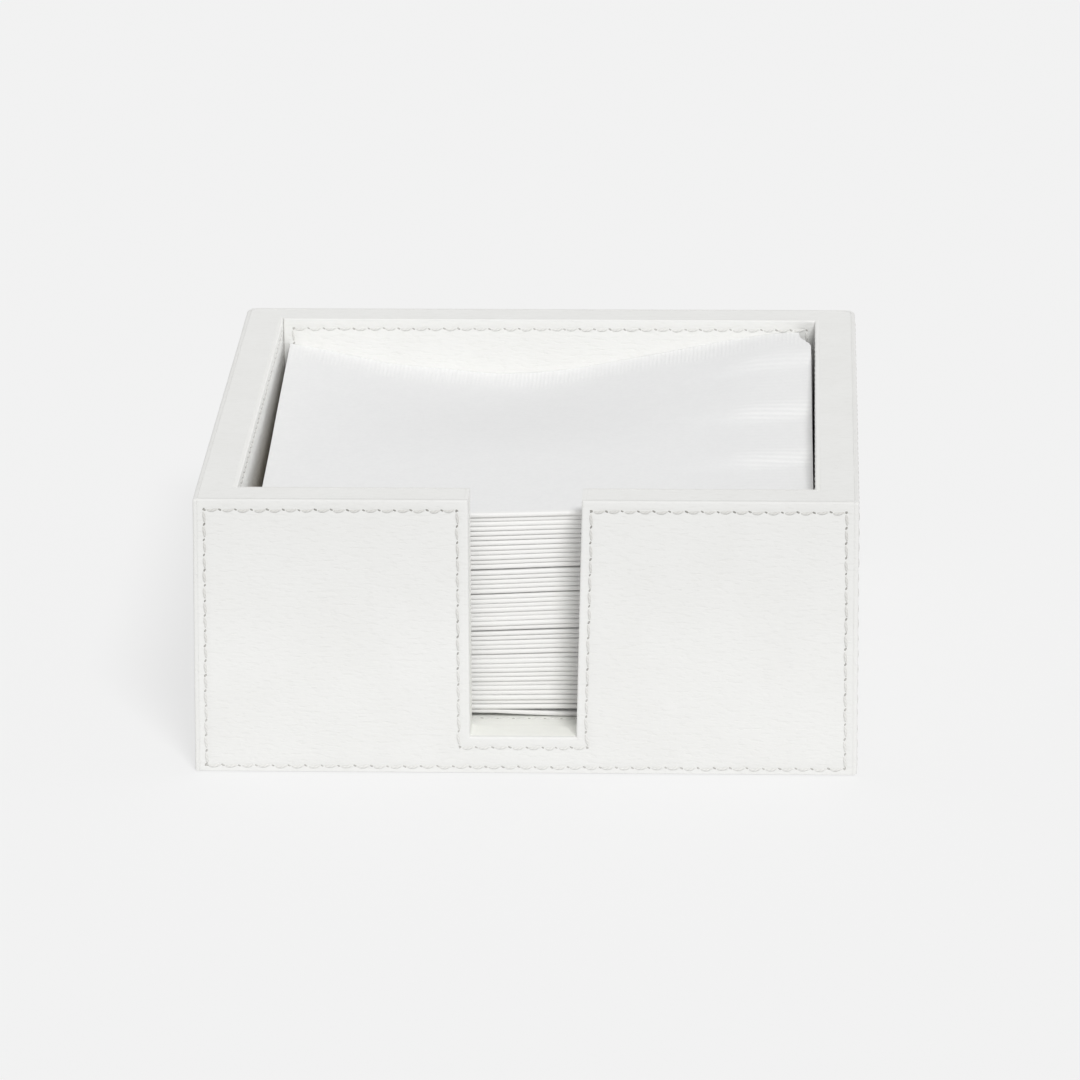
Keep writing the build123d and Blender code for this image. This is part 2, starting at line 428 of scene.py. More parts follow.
@dataclass(frozen=True)
class Thread:
    """Waxed thread laid up from two strands."""

    name: str = "waxed_thread"
    lighter_tone: Tone = (0.75, 0.747, 0.724)
    darker_tone: Tone = (0.65, 0.645, 0.621)
    hollow: float = 0.09
    twists: float = 3.0
    strands: float = 2.0
    fibre_size: float = 0.12 * MM
    depth: float = 0.02 * MM

    def material(self) -> bpy.types.Material:
        """The thread's material: strands wound round each other along the stitch."""
        recipe = Recipe(self.name)
        ends = Value(recipe, recipe.node("ShaderNodeUVMap", {"uv_map": "UVMap"}).outputs["UV"])
        lay = recipe.part(ends, "X") * self.twists + recipe.part(ends, "Y") * self.strands
        round_lay = lay.wave(1.0) * 0.5 + 0.5
        fibres = recipe.mottle(recipe.place(), self.fibre_size)
        # Painted shade: the thread is darker at the top in front.
        strand = recipe.blend(painted_stitch_shade(recipe), self.lighter_tone, self.darker_tone)
        shade = self.hollow - round_lay.ramp(0.0, 0.7) * self.hollow
        return recipe.surface(
            Base_Color=recipe.blend(shade, strand, BLACK),
            Roughness=0.5 + fibres * 0.2,
            Specular_IOR_Level=0.3,
            Normal=recipe.relief(round_lay + fibres * 0.4, self.depth),
        )


@dataclass(frozen=True)
class NeedleHole:
    """The shaded mouth of a needle hole in white leather."""

    name: str = "needle_hole"
    lighter_tone: Tone = (0.6, 0.592, 0.566)
    darker_tone: Tone = (0.38, 0.373, 0.35)
    shade: float = 0.28
    fibre_size: float = 0.25 * MM
    depth: float = 0.05 * MM

    def material(self) -> bpy.types.Material:
        """The hole's material: raw fibres in shade."""
        recipe = Recipe(self.name)
        fibres = recipe.mottle(recipe.place(), self.fibre_size)
        # Painted shade: the hole's mouth is darker at the top in front.
        mouth = recipe.blend(painted_stitch_shade(recipe), self.lighter_tone, self.darker_tone)
        return recipe.surface(
            Base_Color=recipe.blend(fibres.ramp(0.35, 0.65) * self.shade, mouth, BLACK),
            Roughness=0.9 + fibres * 0.1,
            Specular_IOR_Level=0.05,
            Normal=recipe.relief(fibres, self.depth),
        )


@dataclass(frozen=True)
class Paper:
    """Soft white tissue paper, with ribs pressed along its open edges that carry painted highlights."""

    name: str = "napkin_tissue"
    tone: Tone = (0.846, 0.848, 0.847)
    thin: Tone = (0.818, 0.82, 0.821)
    folded: Tone = (0.845, 0.84, 0.828)
    ribbed: Tone = (0.94, 0.938, 0.93)
    fibre_size: float = 0.35 * MM
    speck_size: float = 1.0 * MM
    dot_size: float = 0.8 * MM
    cloud_size: float = 5.0 * MM
    depth: float = 0.04 * MM

    def material(self) -> bpy.types.Material:
        """The paper's material: matt fibres, a faint pressed dot pattern and ribbed bands with painted
        highlights.
        """
        recipe = Recipe(self.name)
        point = recipe.place()
        fibres = recipe.mottle(point, self.fibre_size, detail=5.0, roughness=0.65)
        clouds = recipe.mottle(point, self.cloud_size).ramp(0.35, 0.7)
        specks = recipe.mottle(point, self.speck_size, detail=2.0).ramp(0.35, 0.65)
        dots = recipe.pebbles(point, self.dot_size)
        back, right = recipe.painted(BACK_BAND), recipe.painted(RIGHT_BAND)
        ribs = (recipe.part(point, "X").wave(1.0 / BACK_PITCH) * back
                + recipe.part(point, "Y").wave(1.0 / RIGHT_PITCH) * right)
        face = recipe.blend(clouds * 0.25 + specks * 0.5 + fibres * 0.2, self.tone, self.thin)
        # Painted highlights: the ribbed bands are lighter, and each rib's crest lighter still.
        banded = recipe.blend(back * 0.1 + right * 0.22 + ribs * 0.2, face, self.ribbed)
        return recipe.surface(
            Base_Color=recipe.blend(recipe.painted(FOLD), banded, self.folded),
            Roughness=0.85 + fibres * 0.12,
            Specular_IOR_Level=0.15,
            Normal=recipe.relief(fibres + dots * 0.3 + ribs * 0.6, self.depth),
        )


@dataclass(frozen=True)
class Fibreboard:
    """Raw fibreboard under the leather."""

    name: str = "fibreboard"
    tone: Tone = (0.36, 0.23, 0.12)
    dark: Tone = (0.24, 0.15, 0.08)
    fibre_size: float = 0.9 * MM
    depth: float = 0.08 * MM

    def material(self) -> bpy.types.Material:
        """The board's material: pressed fibres."""
        recipe = Recipe(self.name)
        fibres = recipe.mottle(recipe.place(), self.fibre_size, detail=6.0, roughness=0.7)
        return recipe.surface(
            Base_Color=recipe.blend(fibres.ramp(0.3, 0.7), self.tone, self.dark),
            Roughness=0.8 + fibres * 0.15,
            Normal=recipe.relief(fibres, self.depth),
        )


@dataclass(frozen=True)
class PinSteel:
    """Drawn steel of the panel pins."""

    name: str = "pin_steel"
    tone: Tone = (0.56, 0.56, 0.57)
    dull: Tone = (0.38, 0.38, 0.39)
    mark_size: float = 0.2 * MM
    depth: float = 0.01 * MM

    def material(self) -> bpy.types.Material:
        """The steel's material: faint drawing marks."""
        recipe = Recipe(self.name)
        marks = recipe.mottle(recipe.place(), self.mark_size)
        return recipe.surface(
            Base_Color=recipe.blend(marks.ramp(0.3, 0.7), self.tone, self.dull),
            Metallic=1.0,
            Roughness=0.28 + marks * 0.2,
            Normal=recipe.relief(marks, self.depth),
        )


@dataclass(frozen=True)
class Suede:
    """Napped suede of the pad underneath."""

    name: str = "suede"
    tone: Tone = (0.66, 0.64, 0.58)
    brushed: Tone = (0.54, 0.52, 0.47)
    nap_size: float = 0.3 * MM
    patch_size: float = 9.0 * MM
    depth: float = 0.12 * MM

    def material(self) -> bpy.types.Material:
        """The suede's material: short nap, brushed in patches."""
        recipe = Recipe(self.name)
        nap = recipe.mottle(recipe.place(), self.nap_size, detail=5.0, roughness=0.7)
        patches = recipe.mottle(recipe.place(), self.patch_size)
        return recipe.surface(
            Base_Color=recipe.blend(patches.ramp(0.3, 0.7) * 0.7 + nap * 0.3, self.tone, self.brushed),
            Roughness=0.92 + nap * 0.08,
            Specular_IOR_Level=0.1,
            Normal=recipe.relief(nap, self.depth),
        )


@dataclass(frozen=True)
class StudioFloor:
    """Pale sweep that the holder stands on, lit partly from below so that shadows stay faint."""

    name: str = "studio_floor"
    tone: Tone = (0.29, 0.29, 0.29)
    cloudy: float = 0.99
    cloud_size: float = 30.0 * MM
    glow: float = 0.606

    def material(self) -> bpy.types.Material:
        """The floor's material: matt, with a share of its own light."""
        recipe = Recipe(self.name)
        clouds = recipe.mottle(recipe.place(), self.cloud_size)
        tone = recipe.blend(clouds, self.tone, [self.cloudy * part for part in self.tone])
        return recipe.surface(
            Base_Color=tone,
            Roughness=1.0,
            Specular_IOR_Level=0.0,
            Emission_Color=(1.0, 1.0, 1.0, 1.0),
            Emission_Strength=self.glow,
        )


# Modelling steps

class Bench:
    """Modelling steps that the pieces share."""

    @staticmethod
    def only(piece: bpy.types.Object) -> None:
        """Selects one piece alone and makes it the active one."""
        bpy.ops.object.select_all(action="DESELECT")
        piece.select_set(True)
        bpy.context.view_layer.objects.active = piece

    @staticmethod
    def points(piece: bpy.types.Object) -> np.ndarray:
        """The places of a piece's points, one row each."""
        flat = np.empty(len(piece.data.vertices) * 3)
        piece.data.vertices.foreach_get("co", flat)
        return flat.reshape(-1, 3)

    @staticmethod
    def move(piece: bpy.types.Object, places: np.ndarray) -> None:
        """Moves a piece's points to the places given, one row each."""
        piece.data.vertices.foreach_set("co", places.ravel())
        piece.data.update()

    @staticmethod
    def paint(piece: bpy.types.Object, name: str, numbers: np.ndarray) -> None:
        """Keeps a number at each point of a piece.

        Args:
            piece: The piece.
            name: The name that its material reads.
            numbers: One number for each point.
        """
        layer = piece.data.attributes.new(name, "FLOAT", "POINT")
        layer.data.foreach_set("value", numbers.astype(np.float32))

    @staticmethod
    def grid(name: str, columns: Sequence[float], rows: Sequence[float]) -> bpy.types.Object:
        """A flat sheet on the plane Z = 0 with its lines at the places given.

        Args:
            name: The piece's name.
            columns: Where its lines cross the X axis.
            rows: Where its lines cross the Y axis.

        Returns:
            The sheet.
        """
        bpy.ops.object.select_all(action="DESELECT")
        cuts = (len(columns) - 1, len(rows) - 1)
        bpy.ops.mesh.primitive_grid_add(x_subdivisions=cuts[0], y_subdivisions=cuts[1], size=2.0)
        piece = bpy.context.active_object
        piece.name = piece.data.name = name
        places = Bench.points(piece)
        for axis, lines in enumerate((columns, rows)):
            steps = np.rint((places[:, axis] + 1.0) / 2.0 * cuts[axis]).astype(int)
            places[:, axis] = np.asarray(lines)[steps]
        Bench.move(piece, places)
        return piece

    @staticmethod
    def edit(piece: bpy.types.Object, kind: str = "FACE") -> None:
        """Opens a piece for editing with nothing selected.

        Args:
            piece: The piece.
            kind: What is selected there: VERT, EDGE or FACE.
        """
        Bench.only(piece)
        bpy.ops.object.mode_set(mode="EDIT")
        bpy.ops.mesh.select_mode(type=kind)
        bpy.ops.mesh.select_all(action="DESELECT")

    @staticmethod
    def pick_faces(piece: bpy.types.Object, wanted: Callable[[Vector, Vector], bool]) -> None:
        """Selects faces while a piece is open.

        Args:
            piece: The piece.
            wanted: Says of a face's middle and normal whether it is wanted.
        """
        mesh = bmesh.from_edit_mesh(piece.data)
        for face in mesh.faces:
            face.select_set(wanted(face.calc_center_median(), face.normal))
        bmesh.update_edit_mesh(piece.data)

    @staticmethod
    def pick_edges(piece: bpy.types.Object, wanted: Callable[[bmesh.types.BMEdge], bool]) -> None:
        """Selects edges while a piece is open.

        Args:
            piece: The piece.
            wanted: Says of an edge whether it is wanted.
        """
        mesh = bmesh.from_edit_mesh(piece.data)
        for edge in mesh.edges:
            edge.select_set(wanted(edge))
        bmesh.update_edit_mesh(piece.data)

    @staticmethod
    def close() -> None:
        """Ends editing."""
        bpy.ops.object.mode_set(mode="OBJECT")

    @staticmethod
    def put(piece: bpy.types.Object, place: Matrix) -> None:
        """Moves and turns a piece and writes that into its mesh.

        Args:
            piece: The piece.
            place: Where it goes.
        """
        Bench.only(piece)
        piece.matrix_world = place
        bpy.ops.object.transform_apply(location=True, rotation=True, scale=True)

    @staticmethod
    def apply(piece: bpy.types.Object, kind: str, **settings: object) -> None:
        """Adds a modifier and applies it.

        Args:
            piece: The piece.
            kind: The modifier's type.
            settings: Its properties.
        """
        Bench.only(piece)
        modifier = piece.modifiers.new(kind.lower(), kind)
        for name, setting in settings.items():
            setattr(modifier, name, setting)
        bpy.ops.object.modifier_apply(modifier=modifier.name)

    @staticmethod
    def smooth(piece: bpy.types.Object, angle: float = 40.0) -> None:
        """Shades a piece smooth up to an angle in degrees."""
        Bench.only(piece)
        bpy.ops.object.shade_smooth_by_angle(angle=math.radians(angle))

    @staticmethod
    def dress(piece: bpy.types.Object, *materials: bpy.types.Material) -> None:
        """Gives a piece its materials, in the order of its slots."""
        piece.data.materials.clear()
        for material in materials:
            piece.data.materials.append(material)


def hand_over(piece: bpy.types.Object, body: str, node: str) -> None:
    """Gives a finished piece to its body, in the place of its node.

    Args:
        piece: The piece.
        body: The body that carries it.
        node: The node that it is shown for.
    """
    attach(piece, body)
    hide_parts(node)
    log.info("%s: %d faces", piece.name, len(piece.data.polygons))


def lines_between(low: float, high: float, step: float, marks: Iterable[float] = ()) -> list[float]:
    """Places of a sheet's lines, at most a step apart, with lines on all the marks.

    Args:
        low: The first line.
        high: The last line.
        step: The widest space.
        marks: Places that have to have a line.

    Returns:
        The places in order.
    """
    least = 0.15 * step
    stops = [low]
    for mark in sorted(marks):
        if stops[-1] + least < mark < high - least:
            stops.append(mark)
    stops.append(high)
    places = [low]
    for start, end in zip(stops, stops[1:]):
        count = max(1, math.ceil((end - start) / step))
        places += [start + (end - start) * i / count for i in range(1, count + 1)]
    return places


def smooth_step(share: np.ndarray | float) -> np.ndarray | float:
    """A smooth rise from 0 to 1 as the share goes from 0 to 1."""
    held = np.clip(share, 0.0, 1.0)
    return held * held * (3.0 - 2.0 * held)


def unevenness(places: np.ndarray, size: float, seed: float) -> np.ndarray:
    """Soft noise at each place, from about -1 to 1.

    Args:
        places: One row for each place.
        size: The size of its swells in metres.
        seed: Moves the pattern, so that no two pieces are alike.

    Returns:
        One number for each place.
    """
    shift = Vector((seed * 7.3, seed * 3.1, seed * 5.7))
    return np.array([noise.noise(Vector(place) / size + shift) for place in places])


# Leathers

@dataclass(frozen=True)
class SeamRow:
    """A straight row of stitches on a panel, in the panel's own plane."""

    start: tuple[float, float]
    end: tuple[float, float]

    @property
    def length(self) -> float:
        """The row's length."""
        return math.dist(self.start, self.end)

    @property
    def angle(self) -> float:
        """The row's turn from the panel's level axis."""
        return math.atan2(self.end[1] - self.start[1], self.end[0] - self.start[0])

    def distance(self, along: np.ndarray, up: np.ndarray) -> np.ndarray:
        """How far points of the panel lie from the row.

        Args:
            along: The points' places on the level axis.
            up: Their places on the upright axis.

        Returns:
            One distance for each point.
        """
        run = np.subtract(self.end, self.start)
        offset = np.stack([along - self.start[0], up - self.start[1]], axis=1)
        share = np.clip(offset @ run / (run @ run), 0.0, 1.0)
        return np.linalg.norm(offset - share[:, None] * run, axis=1)


def seam_round(along: tuple[float, float], up: tuple[float, float]) -> list[SeamRow]:
    """Rows round a rectangle, level ones to the right and upright ones upwards.

    Args:
        along: The rectangle's limits on the level axis.
        up: Its limits on the upright axis.

    Returns:
        Its four rows.
    """
    level = [SeamRow((along[0], height), (along[1], height)) for height in up]
    upright = [SeamRow((place, up[0]), (place, up[1])) for place in along]
    return level + upright


@dataclass(frozen=True)
class NotchCut:
    """How the notch was cut by hand: its edges lean, the right one the most, and its rows with them.

    Left and right give how far each edge is moved at its foot and at its head.
    """

    half_width: float
    sill: float
    rim: float
    left: tuple[float, float] = (-0.7 * MM, -0.45 * MM)
    right: tuple[float, float] = (-1.2 * MM, 0.45 * MM)
    level: float = 3.2 * MM
    reach: float = 9.0 * MM
    sill_fade: float = 0.8

    def bend(self, places: np.ndarray) -> np.ndarray:
        """Moves points beside the notch to its real edges.

        Args:
            places: Points in the frame, one row each.

        Returns:
            The moved points.
        """
        bent = places.copy()
        height = np.clip((places[:, 2] - self.sill) / (self.rim - self.sill), 0.0, 1.0)
        below = smooth_step(1.0 - (self.sill - places[:, 2]) / (self.sill_fade * self.sill))
        for side, (foot, head) in ((-1.0, self.left), (1.0, self.right)):
            beyond = np.abs(side * places[:, 0] - self.half_width)
            near = np.clip((self.reach - beyond) / (self.reach - self.level), 0.0, 1.0)
            bent[:, 0] += (foot + (head - foot) * height) * near * below
        return bent


@dataclass(frozen=True)
class Foot:
    """How the tray's left wall stands out towards its foot."""

    half_x: float
    rim: float
    left: float = -1.05 * MM

    def spread(self, places: np.ndarray) -> np.ndarray:
        """Moves points of the left half out, the more the lower they lie.

        Args:
            places: Points in the frame, one row each.

        Returns:
            The moved points.
        """
        moved = places.copy()
        left = np.clip(-places[:, 0] / self.half_x, 0.0, 1.0) ** 2
        moved[:, 0] += self.left * left * (1.0 - places[:, 2] / self.rim)
        return moved


@dataclass(frozen=True)
class RightWall:
    """How the tray's right wall stands in towards the napkins."""

    inner: float
    outer: float
    inward: float = 0.45 * MM
    fade: float = 12.0 * MM

    def draw_in(self, places: np.ndarray) -> np.ndarray:
        """Moves the wall's inner points in, and those of its outer face not at all.

        Args:
            places: Points in the frame, one row each.

        Returns:
            The moved points.
        """
        moved = places.copy()
        begun = smooth_step((places[:, 0] - self.inner + self.fade) / self.fade)
        left_over = np.clip((self.outer - places[:, 0]) / (self.outer - self.inner), 0.0, 1.0)
        moved[:, 0] -= self.inward * begun * left_over
        return moved


@dataclass(frozen=True)
class RearCorners:
    """The tray's rear corners, where the leathers are drawn round the boards."""

    half_x: float
    half_y: float
    radius: float = 3.0 * MM

    def ease(self, places: np.ndarray) -> np.ndarray:
        """Draws points near the rear corners in to a round.

        Args:
            places: Points in the frame, one row each.

        Returns:
            The moved points.
        """
        eased = places.copy()
        across = np.abs(places[:, 0]) - (self.half_x - self.radius)
        along = places[:, 1] - (self.half_y - self.radius)
        near = (across > 0.0) & (along > 0.0)
        shrink = np.maximum(across, along)[near] / np.hypot(across, along)[near]
        eased[near, 0] = np.sign(places[near, 0]) * (self.half_x - self.radius + across[near] * shrink)
        eased[near, 1] = self.half_y - self.radius + along[near] * shrink
        return eased


@dataclass
class LeatherPanel:
    """One cut piece of leather on a flat face, with rounded edges and a groove under each row of stitches."""

    node: str
    facing: Facing
    finish: "Leather | Suede"
    slot: str
    rows: list[SeamRow] = field(default_factory=list)
    cutouts: list[tuple[float, float, float, float]] = field(default_factory=list)
    fits: tuple[Fit, ...] = ()
    joints: tuple[float, ...] = ()
    end: float = 6.0 * MM
    edge: float = 0.45 * MM
    end_edge: float | None = None
    cell: float = 1.0 * MM
    groove: float = 0.12 * MM
    groove_reach: float = 0.9 * MM
    swell: float = 0.05 * MM
    swell_size: float = 16.0 * MM
    ripple_size: float = 5.0 * MM
    ripple_share: float = 0.4
    edge_share: float = 0.35
    seed: float = 1.0

    def lines(self, axis: int, low: float, high: float) -> list[float]:
        """The places of the panel's mesh lines on one axis.

        Args:
            axis: 0 for the level axis, 1 for the upright one.
            low: The panel's lower limit.
            high: Its upper limit.

        Returns:
            The places in order.
        """
        marks = [limit for cut in self.cutouts for limit in cut[2 * axis:2 * axis + 2]]
        if axis == 0:
            marks += self.joints
        for row in self.rows:
            if row.start[axis] == row.end[axis]:
                marks += [row.start[axis] + side * self.groove_reach * 0.5 for side in (-1, 0, 1)]
        return lines_between(low, high, self.cell, marks)

    def build(self) -> bpy.types.Object:
        """Cuts the panel, gives it its thickness and edges, and lays it in place.

        Returns:
            The panel.
        """
        low, high = self.facing.box(self.node)
        panel = Bench.grid(f"{self.node}_panel", self.lines(0, low.x, high.x), self.lines(1, low.y, high.y))
        self.thicken(panel, low, high)
        self.round_edges(panel, low, high)
        self.shape(panel, low, high)
        Bench.put(panel, self.facing.turn @ Matrix.Translation((0, 0, low.z)))
        for fit in self.fits:
            Bench.move(panel, fit(Bench.points(panel)))
        Bench.smooth(panel)
        Bench.apply(panel, "WEIGHTED_NORMAL", mode="FACE_AREA", keep_sharp=True)
        hand_over(panel, HOLDER, self.node)
        return panel

    def thicken(self, panel: bpy.types.Object, low: Vector, high: Vector) -> None:
        """Cuts the openings out of a flat sheet, raises it to its thickness and joins its hidden faces.

        The hidden faces near the ends stay apart, so that they can follow a rounded corner.

        Args:
            panel: The sheet, on the plane Z = 0.
            low: The lowest corner of its node in its own plane.
            high: The highest corner.
        """
        Bench.edit(panel)
        for left, right, bottom, top in self.cutouts:
            Bench.pick_faces(panel, lambda middle, _: left < middle.x < right and bottom < middle.y < top)
            bpy.ops.mesh.delete(type="FACE")
        bpy.ops.mesh.select_all(action="SELECT")
        bpy.ops.mesh.extrude_region_move(TRANSFORM_OT_translate={"value": (0.0, 0.0, high.z - low.z)})
        bpy.ops.mesh.select_all(action="SELECT")
        bpy.ops.mesh.normals_make_consistent(inside=False)
        left, right = low.x + self.end, high.x - self.end
        Bench.pick_faces(panel, lambda middle, normal: normal.z < -0.9 and left < middle.x < right)
        bpy.ops.mesh.dissolve_faces()
        Bench.close()

    def round_edges(self, panel: bpy.types.Object, low: Vector, high: Vector) -> None:
        """Rounds the edges of the panel's outer face; its foot and ends may have a radius of their own.

        Args:
            panel: The panel, flat on the plane Z = 0.
            low: The lowest corner of its node in its own plane.
            high: The highest corner.
        """
        sides = ((0, low.x), (0, high.x), (1, low.y)) if self.end_edge else ()

        def at_end(edge: bmesh.types.BMEdge) -> bool:
            """Whether an edge lies along the panel's foot or one of its ends."""
            return any(all(abs(vert.co[axis] - side) < CLOSE for vert in edge.verts) for axis, side in sides)

        def outer(edge: bmesh.types.BMEdge) -> bool:
            """Whether an edge borders the panel's outer face."""
            return edge.calc_face_angle(0.0) > 1.0 and max(face.normal.z for face in edge.link_faces) > 0.9

        for width, here in ((self.edge, False), (self.end_edge, True)):
            if width:
                Bench.edit(panel, "EDGE")
                Bench.pick_edges(panel, lambda edge: outer(edge) and at_end(edge) == here)
                bpy.ops.mesh.bevel(offset=width, segments=4, profile=0.5, affect="EDGES")
                Bench.close()

    def shape(self, panel: bpy.types.Object, low: Vector, high: Vector) -> None:
        """Presses the grooves into the panel's outer face and lets it swell a little.

        Args:
            panel: The panel, flat on the plane Z = 0.
            low: The lowest corner of its node in its own plane.
            high: The highest corner.
        """
        places = Bench.points(panel)
        thickness = high.z - low.z
        outer = np.clip(places[:, 2] / thickness, 0.0, 1.0)
        seam = np.zeros(len(places))
        for row in self.rows:
            gap = row.distance(places[:, 0], places[:, 1])
            seam = np.maximum(seam, np.exp(-(gap / (0.6 * self.groove_reach)) ** 2))
        ripples = unevenness(places, self.ripple_size, self.seed + 0.5)
        swells = unevenness(places, self.swell_size, self.seed) + self.ripple_share * ripples
        Bench.paint(panel, SEAM, seam * outer)
        Bench.paint(panel, CUT_EDGE, np.clip((1.0 - outer) / self.edge_share, 0.0, 1.0))
        places[:, 2] -= outer * (self.groove * seam + self.swell * (1.0 + swells * (1.0 - seam)))
        Bench.move(panel, places)


@dataclass
class NotchStrip:
    """The strip of leather down one cheek of the notch, across its sill and up the other cheek."""

    finish: Leather
    notch: NotchCut
    node: str = "notch_leather"
    slot: str = "outer_leather"
    corner: float = 0.7 * MM
    cell: float = 0.9 * MM
    edge: float = 0.05 * MM

    def build(self) -> bpy.types.Object:
        """Lays the strip flat, bends it round the notch and gives it its thickness.

        Returns:
            The strip.
        """
        low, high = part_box(self.node)
        thickness = high.x - self.notch.half_width
        rise = high.z - self.notch.sill
        reach = rise + self.notch.half_width
        steps = (-1.0, -0.5, 0.0, 0.5, 1.0)
        marks = [side * (self.notch.half_width + step * self.corner) for side in (-1, 1) for step in steps]
        strip = Bench.grid(f"{self.node}_strip", lines_between(-reach, reach, self.cell, marks),
                           lines_between(low.y, high.y, self.cell))
        flat = Bench.points(strip)
        Bench.move(strip, self.fold(flat))
        Bench.apply(strip, "SOLIDIFY", thickness=thickness, offset=-1.0, use_even_offset=True)
        Bench.apply(strip, "BEVEL", width=self.edge, segments=3, limit_method="ANGLE", angle_limit=1.0)
        places = self.notch.bend(Bench.points(strip))
        Bench.move(strip, places)
        Bench.paint(strip, SEAM, np.zeros(len(places)))
        Bench.paint(strip, CUT_EDGE, np.zeros(len(places)))
        Bench.smooth(strip)
        hand_over(strip, HOLDER, self.node)
        return strip

    def fold(self, flat: np.ndarray) -> np.ndarray:
        """Where the strip's flat points lie once it is bent round the notch.

        Args:
            flat: Points with their place along the strip on X and across it on Y.

        Returns:
            The points in the frame.
        """
        bent = flat.copy()
        side = np.sign(flat[:, 0])
        past = np.abs(flat[:, 0]) - self.notch.half_width
        share = np.clip((past + self.corner) / (2.0 * self.corner), 0.0, 1.0)
        inside = np.minimum(np.abs(flat[:, 0]), self.notch.half_width - self.corner)
        angle = share * math.pi / 2
        bent[:, 0] = side * (inside + self.corner * np.sin(angle))
        climb = np.maximum(past - self.corner, 0.0)
        bent[:, 2] = self.notch.sill + self.corner * (1.0 - np.cos(angle)) + climb
        return bent


# Stitching

@dataclass
class Stitching:
    """Rows of lock stitches on one or more panels, each stitch bowed between two slanted needle holes."""

    node: str
    facing: Facing
    rows: list[SeamRow]
    fits: tuple[Fit, ...] = ()
    pitch: float = 3.72 * MM
    width: float = 0.66 * MM
    height: float = 0.44 * MM
    bed: float = 0.17 * MM
    bow: float = 0.3 * MM
    slant: float = math.radians(-33.0)
    tuck: float = 0.7
    taper: float = 0.45
    sink: float = 0.3
    arch: float = 0.45
    hole: tuple[float, float] = (0.46 * MM, 0.25 * MM)
    lens: float = 0.1 * MM
    scatter: tuple[float, float, float] = (0.12 * MM, 0.1 * MM, 0.03 * MM)
    around: int = 8
    along: int = 8
    slot: str = "thread"
    seed: int = 1

    def build(self, thread: bpy.types.Material, hole: bpy.types.Material) -> bpy.types.Object:
        """Sews the rows.

        Args:
            thread: The thread's material.
            hole: The needle holes' material.

        Returns:
            The stitching, one piece.
        """
        draw = random.Random(self.seed)
        low, _ = self.facing.box(self.node)
        made = []
        for number, row in enumerate(self.rows):
            count = max(1, round(row.length / self.pitch))
            step = row.length / count
            place = (self.facing.turn @ Matrix.Translation((*row.start, low.z))
                     @ Matrix.Rotation(row.angle, 4, "Z"))
            level = abs(math.cos(row.angle)) > 0.5 and self.facing not in (Facing.UP, Facing.DOWN)
            threads = self.repeat(self.thread(f"thread_{number}", step, level), step, count, draw)
            Bench.dress(threads, thread)
            holes = self.repeat(self.needle_hole(f"hole_{number}"), step, count + 1, draw)
            Bench.dress(holes, hole)
            for piece in (threads, holes):
                Bench.put(piece, place)
                made.append(piece)
        return self.gather(made)

    def thread(self, name: str, step: float, level: bool) -> bpy.types.Object:
        """One stitch, from a needle hole at the origin to the next one along X.

        Args:
            name: The piece's name.
            step: The space between the holes.
            level: Whether the row is level, so that the thread hangs in a bow.

        Returns:
            The stitch.
        """
        lengths = lines_between(0.0, 1.0, 1.0 / self.along)
        stitch = Bench.grid(name, lengths, lines_between(0.0, 1.0, 1.0 / self.around))
        share, turn = Bench.points(stitch)[:, :2].T
        start = Vector((self.hole[0] * self.tuck, 0.0))
        start.rotate(Matrix.Rotation(self.slant, 2))
        swell = np.sin(np.pi * share) ** self.taper
        swell[(share < 1e-6) | (share > 1.0 - 1e-6)] = 0.0
        spine_x = start.x + (step - 2.0 * start.x) * share
        spine_y = start.y * (1.0 - 2.0 * share) - (self.bow if level else 0.0) * np.sin(np.pi * share)
        spine_z = -self.bed - self.sink * self.height + self.arch * self.height * np.sin(np.pi * share) ** 0.5
        angle = turn * math.tau
        places = np.stack([
            spine_x,
            spine_y + np.cos(angle) * 0.5 * self.width * swell,
            spine_z + np.sin(angle) * 0.5 * self.height * swell,
        ], axis=1)
        Bench.move(stitch, places)
        Bench.edit(stitch, "VERT")
        bpy.ops.mesh.select_all(action="SELECT")
        bpy.ops.mesh.remove_doubles(threshold=0.001 * MM)
        bpy.ops.mesh.normals_make_consistent(inside=False)
        Bench.close()
        return stitch

    def needle_hole(self, name: str) -> bpy.types.Object:
        """The mouth of one needle hole, a slanted lens level with the leather.

        Args:
            name: The piece's name.

        Returns:
            The lens.
        """
        bpy.ops.object.select_all(action="DESELECT")
        bpy.ops.mesh.primitive_uv_sphere_add(segments=8, ring_count=4, radius=1.0)
        lens = bpy.context.active_object
        lens.name = lens.data.name = name
        size = Matrix.Diagonal((*self.hole, self.lens, 1.0))
        Bench.put(lens, Matrix.Translation((0, 0, -self.bed))
                  @ Matrix.Rotation(self.slant, 4, "Z") @ size)
        return lens

    def repeat(self, one: bpy.types.Object, step: float, count: int, draw: random.Random) -> bpy.types.Object:
        """Copies one stitch or hole along its row, each copy a little off its place.

        Args:
            one: The stitch or hole.
            step: The space between two copies.
            count: How many there are.
            draw: The seeded source of chance.

        Returns:
            The row.
        """
        size = len(one.data.vertices)
        Bench.apply(one, "ARRAY", count=count, use_relative_offset=False, use_constant_offset=True,
                    constant_offset_displace=(step, 0.0, 0.0))
        places = Bench.points(one)
        for first in range(0, len(places), size):
            places[first:first + size] += [draw.uniform(-reach, reach) for reach in self.scatter]
        Bench.move(one, places)
        return one

